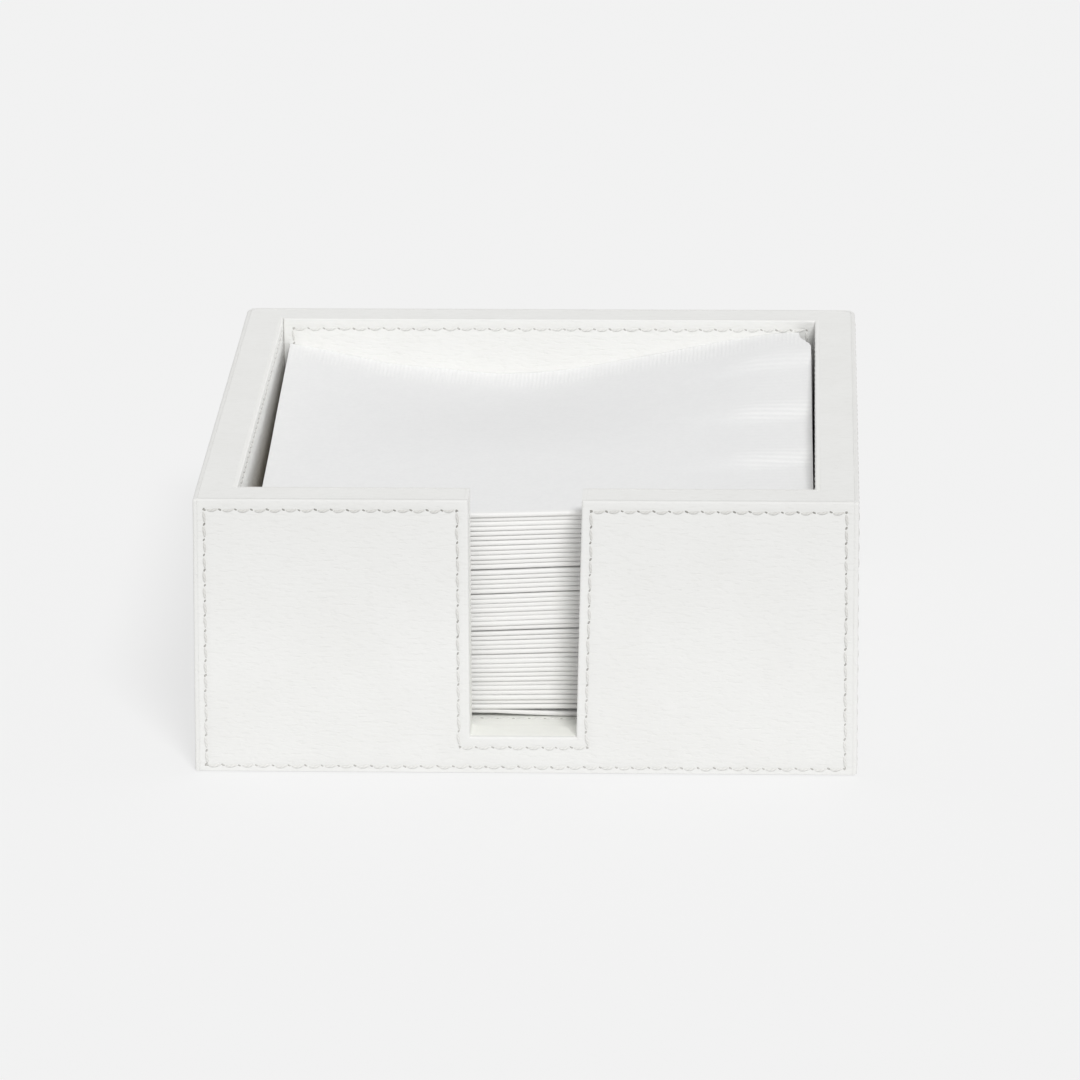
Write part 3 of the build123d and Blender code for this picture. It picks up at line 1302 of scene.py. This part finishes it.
    def gather(self, made: list[bpy.types.Object]) -> bpy.types.Object:
        """Joins the rows into one piece that stands for the node.

        Args:
            made: The rows of threads and of holes.

        Returns:
            The piece.
        """
        Bench.only(made[0])
        for piece in made:
            piece.select_set(True)
        bpy.ops.object.join()
        stitching = bpy.context.active_object
        stitching.name = stitching.data.name = f"{self.node}_rows"
        bpy.ops.object.shade_smooth()
        for fit in self.fits:
            Bench.move(stitching, fit(Bench.points(stitching)))
        hand_over(stitching, HOLDER, self.node)
        return stitching


# Napkins

@dataclass(frozen=True)
class FoldedSheet:
    """A square paper sheet folded in four: first at its left edge, then at its front edge."""

    side: float = 127.0 * MM
    thickness: float = 1.06 * MM
    paper: float = 0.14 * MM
    nose: float = 0.75
    flatness: float = 0.6
    back_band: float = 13.0 * MM
    right_band: float = 20.0 * MM
    hidden_cell: float = 8.0 * MM
    bend_marks: tuple[float, float] = (0.7 * MM, 2.0 * MM)
    left_faces: int = 6
    front_faces: int = 8

    @property
    def outer(self) -> float:
        """The bend's radius of the outer layer at the front."""
        return (self.thickness - self.paper) / 2

    @property
    def inner(self) -> float:
        """The bend's radius of the inner layer at the front."""
        return self.outer / 3

    @property
    def pair(self) -> float:
        """The bend's radius at the left edge, where two layers are folded together."""
        return (self.outer - self.inner) / 2

    @property
    def middle(self) -> float:
        """The bend's mean radius at the front edge."""
        return (self.outer + self.inner) / 2

    def lines(self, bend: float, turns: int, band: float, fine: float) -> list[float]:
        """Places of the flat sheet's lines, close together where it is bent.

        Args:
            bend: The bend's radius.
            turns: How many faces go round the bend.
            band: The width of the ribbed band at the open edge.
            fine: The widest space in the quarter of the sheet that lies uppermost.

        Returns:
            The places, from one edge to the other.
        """
        half = bend * math.pi / 2
        near = [-half + 2 * half * i / turns for i in range(turns + 1)]
        marks = [*self.bend_marks, self.side - band]
        flat = lines_between(half, self.side, self.hidden_cell, marks)[1:]
        upper = lines_between(half, self.side, fine, marks)[1:]
        return [-place for place in reversed(flat)] + near + upper

    def fold(self, flat: np.ndarray) -> tuple[np.ndarray, np.ndarray, np.ndarray]:
        """Where the flat sheet's points lie once it is folded.

        Args:
            flat: Points of the sheet, measured from its middle.

        Returns:
            Their places from the middle of the folded napkin to the right and to the back, and their
            heights above its middle layer.
        """
        across, along = flat[:, 0], flat[:, 1]
        first = np.clip(across / self.pair, -math.pi / 2, math.pi / 2)
        second = np.clip(along / self.middle, -math.pi / 2, math.pi / 2)
        radius = self.middle - self.pair * np.sin(first)
        straight_x = np.maximum(np.abs(across) - self.pair * math.pi / 2, 0.0)
        straight_y = np.maximum(np.abs(along) - self.middle * math.pi / 2, 0.0)
        right = -self.side / 2 + self.pair * (1.0 - np.cos(first)) + straight_x
        round_off = np.maximum(np.cos(second), 0.0) ** self.flatness
        back = -self.side / 2 + self.nose * (self.outer - radius * round_off) + straight_y
        return right, back, radius * np.sin(second)


@dataclass(frozen=True)
class Pleats:
    """Slanting pleats in which the open right edges of the upper napkins stand up."""

    height: float = 0.8 * MM
    length: float = 34.5 * MM
    slope: float = 0.26
    start: tuple[float, float] = (50.0 * MM, 1.0 * MM)
    steep: float = 0.24
    crease: float = 0.2 * MM
    crease_width: float = 1.0 * MM
    begin: float = 36.0 * MM
    fade: float = 12.0 * MM
    layers: int = 10

    def phase(self, x: np.ndarray, y: np.ndarray) -> np.ndarray:
        """How far points lie from one pleat towards the next, from 0 to 1."""
        return (y - self.slope * (x - self.start[0]) - self.start[1]) / self.length % 1.0

    def stand(self, above: int, x: np.ndarray, y: np.ndarray) -> np.ndarray:
        """How far the paper stands up.

        Args:
            above: How many napkins lie on this one.
            x: Places to the right of the napkin's middle.
            y: Places behind it.

        Returns:
            Heights above its level.
        """
        strength = max(0.0, 1.0 - above / self.layers)
        phase = self.phase(x, y)
        rise = smooth_step(phase / self.steep)
        fall = 1.0 - smooth_step((phase - self.steep) / (1.0 - self.steep))
        to_crease = (0.5 - np.abs(phase - 0.5)) * self.length
        crease = np.exp(-(to_crease / self.crease_width) ** 2)
        lift = self.height * np.minimum(rise, fall) - self.crease * crease
        return strength * lift * smooth_step((x - self.begin) / self.fade)


@dataclass(frozen=True)
class RibbedBorder:
    """Ribs pressed along a napkin's open edges, at its back and its right, which come and go."""

    back_height: float = 0.08 * MM
    back_fade: float = 2.0 * MM
    waver: float = 0.2
    waver_size: float = 6.0 * MM
    patch_size: float = 9.0 * MM
    patch_stretch: float = 0.3
    patch_middle: float = 0.55
    patch_contrast: float = 1.3
    faintest_back: float = 0.35
    right_height: float = 0.15 * MM
    right_fade: float = 3.0 * MM
    steep_phase: float = 0.15
    steep_reach: float = 1.5
    faintest_right: float = 0.25
    rear: float = 25.0 * MM
    rear_fade: float = 15.0 * MM
    rear_loss: float = 0.5

    def back(self, sheet: FoldedSheet, x: np.ndarray, y: np.ndarray, seeds: Sequence[float]) -> np.ndarray:
        """How strongly the ribs along the back edge are pressed.

        Args:
            sheet: The napkin's sheet.
            x: Places to the right of the napkin's middle.
            y: Places behind it.
            seeds: They set how the band's width wavers and where its patches lie.

        Returns:
            One share for each place, from 0 to 1.
        """
        level = 0.0 * x
        wavering = unevenness(np.stack([x, level, level], axis=1), self.waver_size, seeds[0])
        patches = unevenness(np.stack([x, self.patch_stretch * y, level], axis=1), self.patch_size, seeds[1])
        width = sheet.back_band * (1.0 + self.waver * wavering)
        band = smooth_step((y - sheet.side / 2 + width) / self.back_fade)
        pressed = smooth_step(self.patch_middle + self.patch_contrast * patches)
        return band * (self.faintest_back + (1.0 - self.faintest_back) * pressed)

    def right(self, sheet: FoldedSheet, x: np.ndarray, y: np.ndarray, phase: np.ndarray) -> np.ndarray:
        """How strongly the ribs along the right edge are pressed: most on the steep sides of the pleats.

        Args:
            sheet: The napkin's sheet.
            x: Places to the right of the napkin's middle.
            y: Places behind it.
            phase: How far they lie from one pleat towards the next.

        Returns:
            One share for each place, from 0 to 1.
        """
        band = smooth_step((x - sheet.side / 2 + sheet.right_band) / self.right_fade)
        steep = smooth_step(self.steep_reach - np.abs(phase - self.steep_phase) / self.steep_phase)
        kept = 1.0 - self.rear_loss * smooth_step((y - self.rear) / self.rear_fade)
        return band * (self.faintest_right + (1.0 - self.faintest_right) * steep) * kept

    def heights(self, places: np.ndarray, back: np.ndarray, right: np.ndarray) -> np.ndarray:
        """The heights of the ribs.

        Args:
            places: Points in the frame, one row each.
            back: How strongly the ribs along the back edge are pressed there.
            right: The same for the right edge.

        Returns:
            One height for each point.
        """
        back_ribs = self.back_height * back * np.sin(math.tau * places[:, 0] / BACK_PITCH)
        return back_ribs + self.right_height * right * np.sin(math.tau * places[:, 1] / RIGHT_PITCH)


@dataclass
class NapkinStack:
    """Napkins in the well, loosely stacked, with the uppermost ones sagging towards the back wall."""

    sheet: FoldedSheet = field(default_factory=FoldedSheet)
    pleats: Pleats = field(default_factory=Pleats)
    border: RibbedBorder = field(default_factory=RibbedBorder)
    bundles: tuple[int, ...] = (13, 5, 8, 5, 11)
    bundle_gaps: tuple[float, ...] = (0.0, 0.12 * MM, 0.3 * MM, 0.3 * MM, 0.3 * MM, 0.04 * MM)
    plain_gap: float = 0.05 * MM
    gap_range: tuple[float, float] = (0.2, 2.6)
    lowest_lift: float = 0.5 * MM
    lowest_drop: float = 0.3 * MM
    lowest_turn: float = 7.0 * MM
    lowest_fade: float = 20.0 * MM
    flat_side: float = 254.0 * MM
    turn: float = math.radians(1.0)
    front_top: float = 59.3 * MM
    sag_start: float = 0.35
    valley_x: float = -8.0 * MM
    valley_top: float = 52.3 * MM
    left_rise: float = 7.8 * MM
    left_curve: float = 1.6
    right_rise: float = 10.6 * MM
    ripple: float = 0.9 * MM
    ripple_length: float = 16.0 * MM
    ripple_stretch: float = 0.4
    right_tilt: float = 0.043
    tilt_reach: float = 30.0 * MM
    right_spread: tuple[float, float] = (1.2 * MM, 2.8 * MM)
    corner_draw: float = 2.8 * MM
    corner_side: float = 10.0 * MM
    corner_depth: float = 13.0 * MM
    corner_fade: float = 9.0 * MM
    wall_gap: float = -0.15 * MM
    shift: tuple[float, float] = (0.25 * MM, 0.16 * MM)
    shift_right: float = 0.1 * MM
    skew: float = 0.0012
    cockle: float = 0.07 * MM
    cockle_size: float = 9.0 * MM
    fold_reach: float = 1.2 * MM
    plain_cell: float = 6.0 * MM
    uppermost_cell: float = 2.5 * MM
    band_slack: float = 0.1 * MM
    rib_cuts: int = 9
    seed: int = 11

    def __post_init__(self) -> None:
        """Reads the stack's place from the frame and shares its height out among the napkins."""
        low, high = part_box("napkin_bundle_1")
        self.bottom = low.z
        self.middle = (low + high) / 2
        self.half = self.sheet.side / 2
        self.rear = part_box("back_lining")[0].y - self.wall_gap
        draw = random.Random(self.seed)
        spaces = []
        for count, gap in zip((*self.bundles, 1), self.bundle_gaps):
            gaps = [self.plain_gap * draw.uniform(*self.gap_range) for _ in range(count)]
            gaps[0] += gap
            spaces += gaps
        spaces[1] += self.lowest_lift
        self.count = len(spaces)
        self.shifts = []
        for _ in spaces:
            to_right = min(draw.gauss(0.0, self.shift[0]), self.shift_right)
            self.shifts.append((to_right, draw.gauss(0.0, self.shift[1]), draw.gauss(0.0, self.skew)))
        tops = np.cumsum([gap + self.sheet.thickness for gap in spaces])
        self.centres = (tops - self.sheet.thickness / 2) / tops[-1]
        self.scale = self.sheet.thickness / tops[-1]

    def sag(self, y: np.ndarray) -> np.ndarray:
        """How far the upper face has gone over from its front height to its rear one, from 0 to 1."""
        return smooth_step((y / self.half + self.sag_start) / (1.0 + self.sag_start))

    def top(self, x: np.ndarray, y: np.ndarray) -> np.ndarray:
        """The height of the stack's upper face.

        Args:
            x: Places to the right of the stack's middle.
            y: Places behind it.

        Returns:
            Heights above the table.
        """
        left = np.clip((self.valley_x - x) / (self.half + self.valley_x), 0.0, 1.1)
        right = np.clip((x - self.valley_x) / (self.half - self.valley_x), 0.0, 1.0)
        spread = np.stack([x, self.ripple_stretch * y, 0.0 * x], axis=1)
        waves = unevenness(spread, self.ripple_length, self.seed)
        rear = (self.valley_top + self.left_rise * left ** self.left_curve
                + self.right_rise * np.sin(right * math.pi / 2) ** 2 + self.ripple * waves)
        return self.front_top + (rear - self.front_top) * self.sag(y)

    def settle(self, number: int, x: np.ndarray, y: np.ndarray, height: np.ndarray) -> np.ndarray:
        """Lays a folded napkin's points at its place in the stack.

        Args:
            number: Which napkin, counted from the bottom.
            x: The points' places to the right of the napkin's middle.
            y: Their places behind it.
            height: Their heights above its middle layer.

        Returns:
            The points in the frame.
        """
        share = self.centres[number]
        room = self.top(x, y) - self.bottom
        loose = height / self.sheet.thickness * self.scale
        lean = self.right_tilt * math.sin(0.8 * math.pi * share)
        tilt = lean * self.tilt_reach * np.tanh(x / self.tilt_reach) * (1.0 - self.sag(y))
        z = self.bottom + (share + loose) * room + tilt + self.pleats.stand(self.count - 1 - number, x, y)
        if number == 0:
            left = smooth_step((self.lowest_turn - x) / self.lowest_fade)
            z += (self.lowest_lift * left - self.lowest_drop * (1.0 - left)) * smooth_step(-y / self.half)
        near, far = self.right_spread
        spread = near + (far - near) * (y + self.half) / self.sheet.side
        # The upper two thirds of the stack give way to the right and to the back.
        upper = smooth_step(share * 1.5 - 0.5)
        beside = smooth_step((x - self.half + self.corner_side) / self.corner_side)
        corner = beside * smooth_step((y - self.half + self.corner_depth) / self.corner_fade)
        out = x + (spread * smooth_step(x / self.half) - self.corner_draw * corner) * upper
        shift_x, shift_y, skew = self.shifts[number]
        angle = self.turn + skew
        moved_x = out * math.cos(angle) - y * math.sin(angle) + self.middle.x + shift_x
        moved_y = out * math.sin(angle) + y * math.cos(angle) + self.middle.y + shift_y
        short = self.rear - (out * math.sin(angle) + self.half * math.cos(angle) + self.middle.y + shift_y)
        moved_y += short * smooth_step(y / self.half) * upper
        return np.stack([moved_x, moved_y, z], axis=1)

    def rib_lines(self, paper: bpy.types.Object) -> None:
        """Divides the bands along the uppermost open edges finely enough for their ribs.

        Args:
            paper: The flat sheet.
        """
        starts = (self.sheet.side - self.sheet.right_band, self.sheet.side - self.sheet.back_band)
        for across, along in ((1, 0), (0, 1)):
            def beside_edge(edge: bmesh.types.BMEdge) -> bool:
                """Whether an edge of the sheet lies in the band and runs along it."""
                first, second = (vert.co for vert in edge.verts)
                level = abs(first[along] - second[along]) < CLOSE
                in_band = first[along] > starts[along] - self.band_slack
                return level and in_band and min(first[across], second[across]) >= 0.0

            Bench.edit(paper, "EDGE")
            Bench.pick_edges(paper, beside_edge)
            bpy.ops.mesh.subdivide(number_cuts=self.rib_cuts)
            Bench.close()

    def napkin(self, number: int, name: str, last: bool) -> bpy.types.Object:
        """Folds one napkin of the stack.

        Args:
            number: Which napkin, counted from the bottom.
            name: The piece's name.
            last: Whether it is the uppermost one.

        Returns:
            The napkin.
        """
        sheet = self.sheet
        fine = self.uppermost_cell if last else self.plain_cell
        paper = Bench.grid(name, sheet.lines(sheet.pair, sheet.left_faces, sheet.right_band, fine),
                           sheet.lines(sheet.middle, sheet.front_faces, sheet.back_band, fine))
        if last:
            self.rib_lines(paper)
        flat = Bench.points(paper)
        x, y, height = sheet.fold(flat)
        back = self.border.back(sheet, x, y, (self.seed + number, self.seed + 0.3))
        right = self.border.right(sheet, x, y, self.pleats.phase(x, y))
        places = self.settle(number, x, y, height)
        if last:
            upper = (flat[:, 0] > 0.0) & (flat[:, 1] > 0.0)
            cockles = self.cockle * unevenness(flat, self.cockle_size, self.seed)
            places[:, 2] += upper * (self.border.heights(places, back, right) + cockles)
        Bench.paint(paper, FOLD, np.exp(-((y + self.half) / self.fold_reach) ** 2))
        Bench.paint(paper, BACK_BAND, back)
        Bench.paint(paper, RIGHT_BAND, right)
        Bench.move(paper, places)
        Bench.apply(paper, "SOLIDIFY", thickness=sheet.paper, offset=0.0)
        Bench.smooth(paper, 60.0)
        return paper

    def build(self, paper: bpy.types.Material) -> list[bpy.types.Object]:
        """Folds and stacks all the napkins.

        Args:
            paper: The paper's material.

        Returns:
            The napkins, from the bottom up.
        """
        nodes = [f"napkin_bundle_{n}" for n, count in enumerate(self.bundles, start=1) for _ in range(count)]
        made = []
        for number, node in enumerate([*nodes, "top_napkin"]):
            last = node == "top_napkin"
            name = "uppermost_folded_napkin" if last else f"napkin_{number + 1:02d}"
            napkin = self.napkin(number, name, last)
            Bench.dress(napkin, paper)
            hand_over(napkin, UPPERMOST if last else STACK, node)
            made.append(napkin)
        return made


# Assemblies

@dataclass
class Holder:
    """The tray: boards and pins, leathers, linings, pad and stitching."""

    inset: float = 2.5 * MM
    lower_inset: float = 1.4 * MM
    front_insets: tuple[float, float] = (1.55 * MM, 1.75 * MM)
    floor_inset: float = 3.3 * MM
    notch_rows: tuple[float, float] = (-15.1 * MM, 14.75 * MM)
    wall_edge: float = 0.5 * MM
    butted_edge: float = 0.06 * MM
    floor_edge: float = 0.05 * MM
    pad_edge: float = 0.3 * MM
    pad_cell: float = 4.0 * MM

    def __post_init__(self) -> None:
        """Reads the tray's places from the frame."""
        self.front_low, self.front_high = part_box("front_leather")
        self.well_low, self.well_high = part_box("floor_leather")
        lining_low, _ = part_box("front_right_lining")
        self.notch = NotchCut(lining_low.x, lining_low.z, self.front_high.z)
        self.corners = RearCorners(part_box("right_leather")[1].x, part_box("back_leather")[1].y)
        self.foot = Foot(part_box("right_leather")[1].x, self.front_high.z)
        self.wall = RightWall(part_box("right_lining")[0].x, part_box("rim_leather")[1].x)

    def outer_rows(self, node: str, facing: Facing) -> list[SeamRow]:
        """The rows round an outer leather.

        Args:
            node: A node as wide as the visible panel.
            facing: The way that it faces.

        Returns:
            Its rows.
        """
        low, high = facing.box(node)
        return seam_round((low.x + self.inset, high.x - self.inset),
                          (low.y + self.lower_inset, high.y - self.inset))

    def front_rows(self) -> list[SeamRow]:
        """The rows round the front leather and its notch."""
        left = self.front_low.x + self.front_insets[0]
        right = self.front_high.x - self.front_insets[1]
        lower = self.front_low.z + self.lower_inset
        upper = self.front_high.z - self.inset
        sill = self.notch.sill - self.inset
        notch = self.notch_rows
        return [
            SeamRow((left, lower), (right, lower)),
            SeamRow((left, lower), (left, upper)),
            SeamRow((right, lower), (right, upper)),
            SeamRow((left, upper), (notch[0], upper)),
            SeamRow((notch[1], upper), (right, upper)),
            SeamRow((notch[0], sill), (notch[1], sill)),
            SeamRow((notch[0], sill), (notch[0], upper)),
            SeamRow((notch[1], sill), (notch[1], upper)),
        ]

    def lining_rows(self, node: str, facing: Facing, trim: float = 0.0) -> list[SeamRow]:
        """The rows round a lining.

        Args:
            node: The lining's node.
            facing: The way that it faces.
            trim: How much of it the neighbouring linings cover at both ends.

        Returns:
            Its rows.
        """
        low, high = facing.box(node)
        return seam_round((low.x + trim + self.inset, high.x - trim - self.inset),
                          (low.y + self.inset, high.y - self.inset))

    def leathers(self) -> list[LeatherPanel]:
        """All the flat leathers, with the rows that are sewn through them."""
        rim_low, rim_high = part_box("rim_leather")
        notch_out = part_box("notch_leather")[1].x
        well = (self.well_low.x, self.well_high.x, self.well_low.y, self.well_high.y)
        cheeks = (-self.notch.half_width, self.notch.half_width, self.notch.sill, 2 * rim_high.z)
        gap = (-notch_out, notch_out, 2 * rim_low.y, 0.0)
        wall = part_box("back_lining")[1].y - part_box("back_lining")[0].y
        floor_low, floor_high = self.well_low, self.well_high
        floor_trim = wall + self.floor_inset
        soft = {"slot": "outer_leather", "edge": self.wall_edge, "joints": (rim_low.y, rim_high.y)}
        butted = {"slot": "outer_leather", "edge": self.wall_edge, "end_edge": self.butted_edge}
        inside = {"slot": "lining_leather"}
        cut = (self.notch.bend,)
        drawn = (self.corners.ease, self.foot.spread)
        return [
            LeatherPanel("front_leather", Facing.FRONT, FRONT_FINISH, rows=self.front_rows(),
                         cutouts=[cheeks], fits=(*cut, self.foot.spread), seed=1.0, **butted),
            LeatherPanel("back_leather", Facing.BACK, BACK_FINISH, fits=drawn, seed=2.0, **butted,
                         rows=self.outer_rows("left_leather", Facing.LEFT)),
            LeatherPanel("left_leather", Facing.LEFT, SIDE_FINISH, fits=drawn, seed=3.0, **soft,
                         rows=self.outer_rows("left_leather", Facing.LEFT)),
            LeatherPanel("right_leather", Facing.RIGHT, SIDE_FINISH, fits=drawn, seed=4.0, **soft,
                         rows=self.outer_rows("right_leather", Facing.RIGHT)),
            LeatherPanel("rim_leather", Facing.UP, RIM_FINISH, "outer_leather", cutouts=[well, gap],
                         fits=(*cut, *drawn, self.wall.draw_in), edge=self.butted_edge, seed=5.0),
            LeatherPanel("back_lining", Facing.FRONT, LINING_FINISH, seed=6.0, **inside,
                         rows=self.lining_rows("back_lining", Facing.FRONT)),
            LeatherPanel("left_lining", Facing.RIGHT, SIDE_LINING_FINISH, seed=7.0, **inside,
                         rows=self.lining_rows("left_lining", Facing.RIGHT, wall)),
            LeatherPanel("right_lining", Facing.LEFT, SIDE_LINING_FINISH, fits=(self.wall.draw_in,), seed=8.0,
                         rows=self.lining_rows("right_lining", Facing.LEFT, wall), **inside),
            LeatherPanel("front_left_lining", Facing.BACK, LINING_FINISH, fits=cut, seed=9.0, **inside,
                         rows=self.lining_rows("front_left_lining", Facing.BACK)),
            LeatherPanel("front_right_lining", Facing.BACK, LINING_FINISH, fits=cut, seed=10.0, **inside,
                         rows=self.lining_rows("front_right_lining", Facing.BACK)),
            LeatherPanel("floor_leather", Facing.UP, FLOOR_FINISH, edge=self.floor_edge, seed=11.0, **inside,
                         rows=seam_round((floor_low.x + floor_trim, floor_high.x - floor_trim),
                                         (floor_low.y + floor_trim, floor_high.y - floor_trim))),
        ]

    def stitchings(self, panels: dict[str, LeatherPanel]) -> list[Stitching]:
        """The stitching of every panel.

        Args:
            panels: The leathers by their nodes' names.

        Returns:
            The stitchings, one for each node of stitches.
        """
        sewn = {
            "front_stitching": ["front_leather"],
            "back_stitching": ["back_leather"],
            "left_stitching": ["left_leather"],
            "right_stitching": ["right_leather"],
            "back_lining_stitching": ["back_lining"],
            "left_lining_stitching": ["left_lining"],
            "right_lining_stitching": ["right_lining"],
            "front_lining_stitching": ["front_left_lining", "front_right_lining"],
            "floor_stitching": ["floor_leather"],
        }
        made = []
        for seed, (node, names) in enumerate(sewn.items(), start=1):
            rows = [row for name in names for row in panels[name].rows]
            made.append(Stitching(node, panels[names[0]].facing, rows, panels[names[0]].fits, seed=seed))
        return made

    def build(self) -> None:
        """Makes and dresses every piece of the tray."""
        panels = self.leathers()
        strip = NotchStrip(NOTCH_FINISH, self.notch)
        pad = LeatherPanel("suede_pad", Facing.DOWN, Suede(), "suede", edge=self.pad_edge, cell=self.pad_cell,
                           seed=12.0)
        materials = {}
        for sheet in (*panels, strip, pad):
            finish = sheet.finish
            if finish.name not in materials:
                materials[finish.name] = finish.material()
            Bench.dress(sheet.build(), materials[finish.name])
        thread, hole = Thread().material(), NeedleHole().material()
        for stitching in self.stitchings({panel.node: panel for panel in panels}):
            stitching.build(thread, hole)
        board, steel = Fibreboard().material(), PinSteel().material()
        for name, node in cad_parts.items():
            if name.endswith("_board"):
                Bench.dress(node, board)
            elif name.endswith("_pins"):
                Bench.dress(node, steel)


@dataclass
class Studio:
    """Floor, light and camera."""

    floor_size: float = 8.0
    sky: float = 0.6
    sun_strength: float = 1.647
    sun_angle: float = math.radians(16.0)
    sun_height: float = math.radians(45.0)
    sun_turn: float = math.radians(18.0)
    lens: float = 211.38
    sensor: float = 36.0
    sight: float = 100.0
    azimuth: float = math.radians(2.492)
    elevation: float = math.radians(18.793)
    roll: float = math.radians(0.5)
    camera_place: tuple[float, float, float] = (62.85 * MM, -1443.2 * MM, 522.8 * MM)

    @staticmethod
    def towards(azimuth: float, elevation: float) -> Vector:
        """The direction from the object to a thing at an azimuth and elevation, both in radians."""
        level = math.cos(elevation)
        return Vector((math.sin(azimuth) * level, -math.cos(azimuth) * level, math.sin(elevation)))

    def build(self) -> None:
        """Sets up the studio."""
        self.lay_floor()
        self.light()
        self.aim_camera()

    def lay_floor(self) -> None:
        """Lays the pale floor."""
        bpy.ops.object.select_all(action="DESELECT")
        bpy.ops.mesh.primitive_plane_add(size=self.floor_size)
        floor = bpy.context.active_object
        floor.name = floor.data.name = "floor"
        Bench.dress(floor, StudioFloor().material())

    def light(self) -> None:
        """Lights the scene with an even sky and a broad, soft lamp at the front right."""
        world = bpy.data.worlds.new("studio_sky")
        world.use_nodes = True
        sky = world.node_tree.nodes["Background"]
        sky.inputs["Color"].default_value = (1.0, 1.0, 1.0, 1.0)
        sky.inputs["Strength"].default_value = self.sky
        bpy.context.scene.world = world
        lamp = bpy.data.objects.new("soft_lamp", bpy.data.lights.new("soft_lamp", "SUN"))
        bpy.context.scene.collection.objects.link(lamp)
        lamp.data.energy = self.sun_strength
        lamp.data.angle = self.sun_angle
        lamp.rotation_euler = self.towards(self.sun_turn, self.sun_height).to_track_quat("Z", "Y").to_euler()

    def aim_camera(self) -> None:
        """Sets the camera at the photograph's viewing angle."""
        back = self.towards(self.azimuth, self.elevation)
        level = Vector((math.cos(self.azimuth), math.sin(self.azimuth), 0.0))
        down = level.cross(back)
        right = level * math.cos(self.roll) + down * math.sin(self.roll)
        up = level * math.sin(self.roll) - down * math.cos(self.roll)
        camera = bpy.data.objects.new("camera", bpy.data.cameras.new("camera"))
        bpy.context.scene.collection.objects.link(camera)
        camera.data.lens = self.lens
        camera.data.sensor_width = self.sensor
        camera.data.clip_end = self.sight
        turn = Matrix((right, up, back)).transposed().to_4x4()
        camera.matrix_world = Matrix.Translation(self.camera_place) @ turn
        bpy.context.scene.camera = camera
        bpy.context.scene.view_settings.view_transform = "Standard"


def main() -> None:
    """Builds the holder, the napkins and the studio."""
    logging.basicConfig(level=logging.INFO, format="%(name)s %(message)s")
    Holder().build()
    NapkinStack().build(Paper().material())
    Studio().build()


if __name__ == "__main__":
    main()
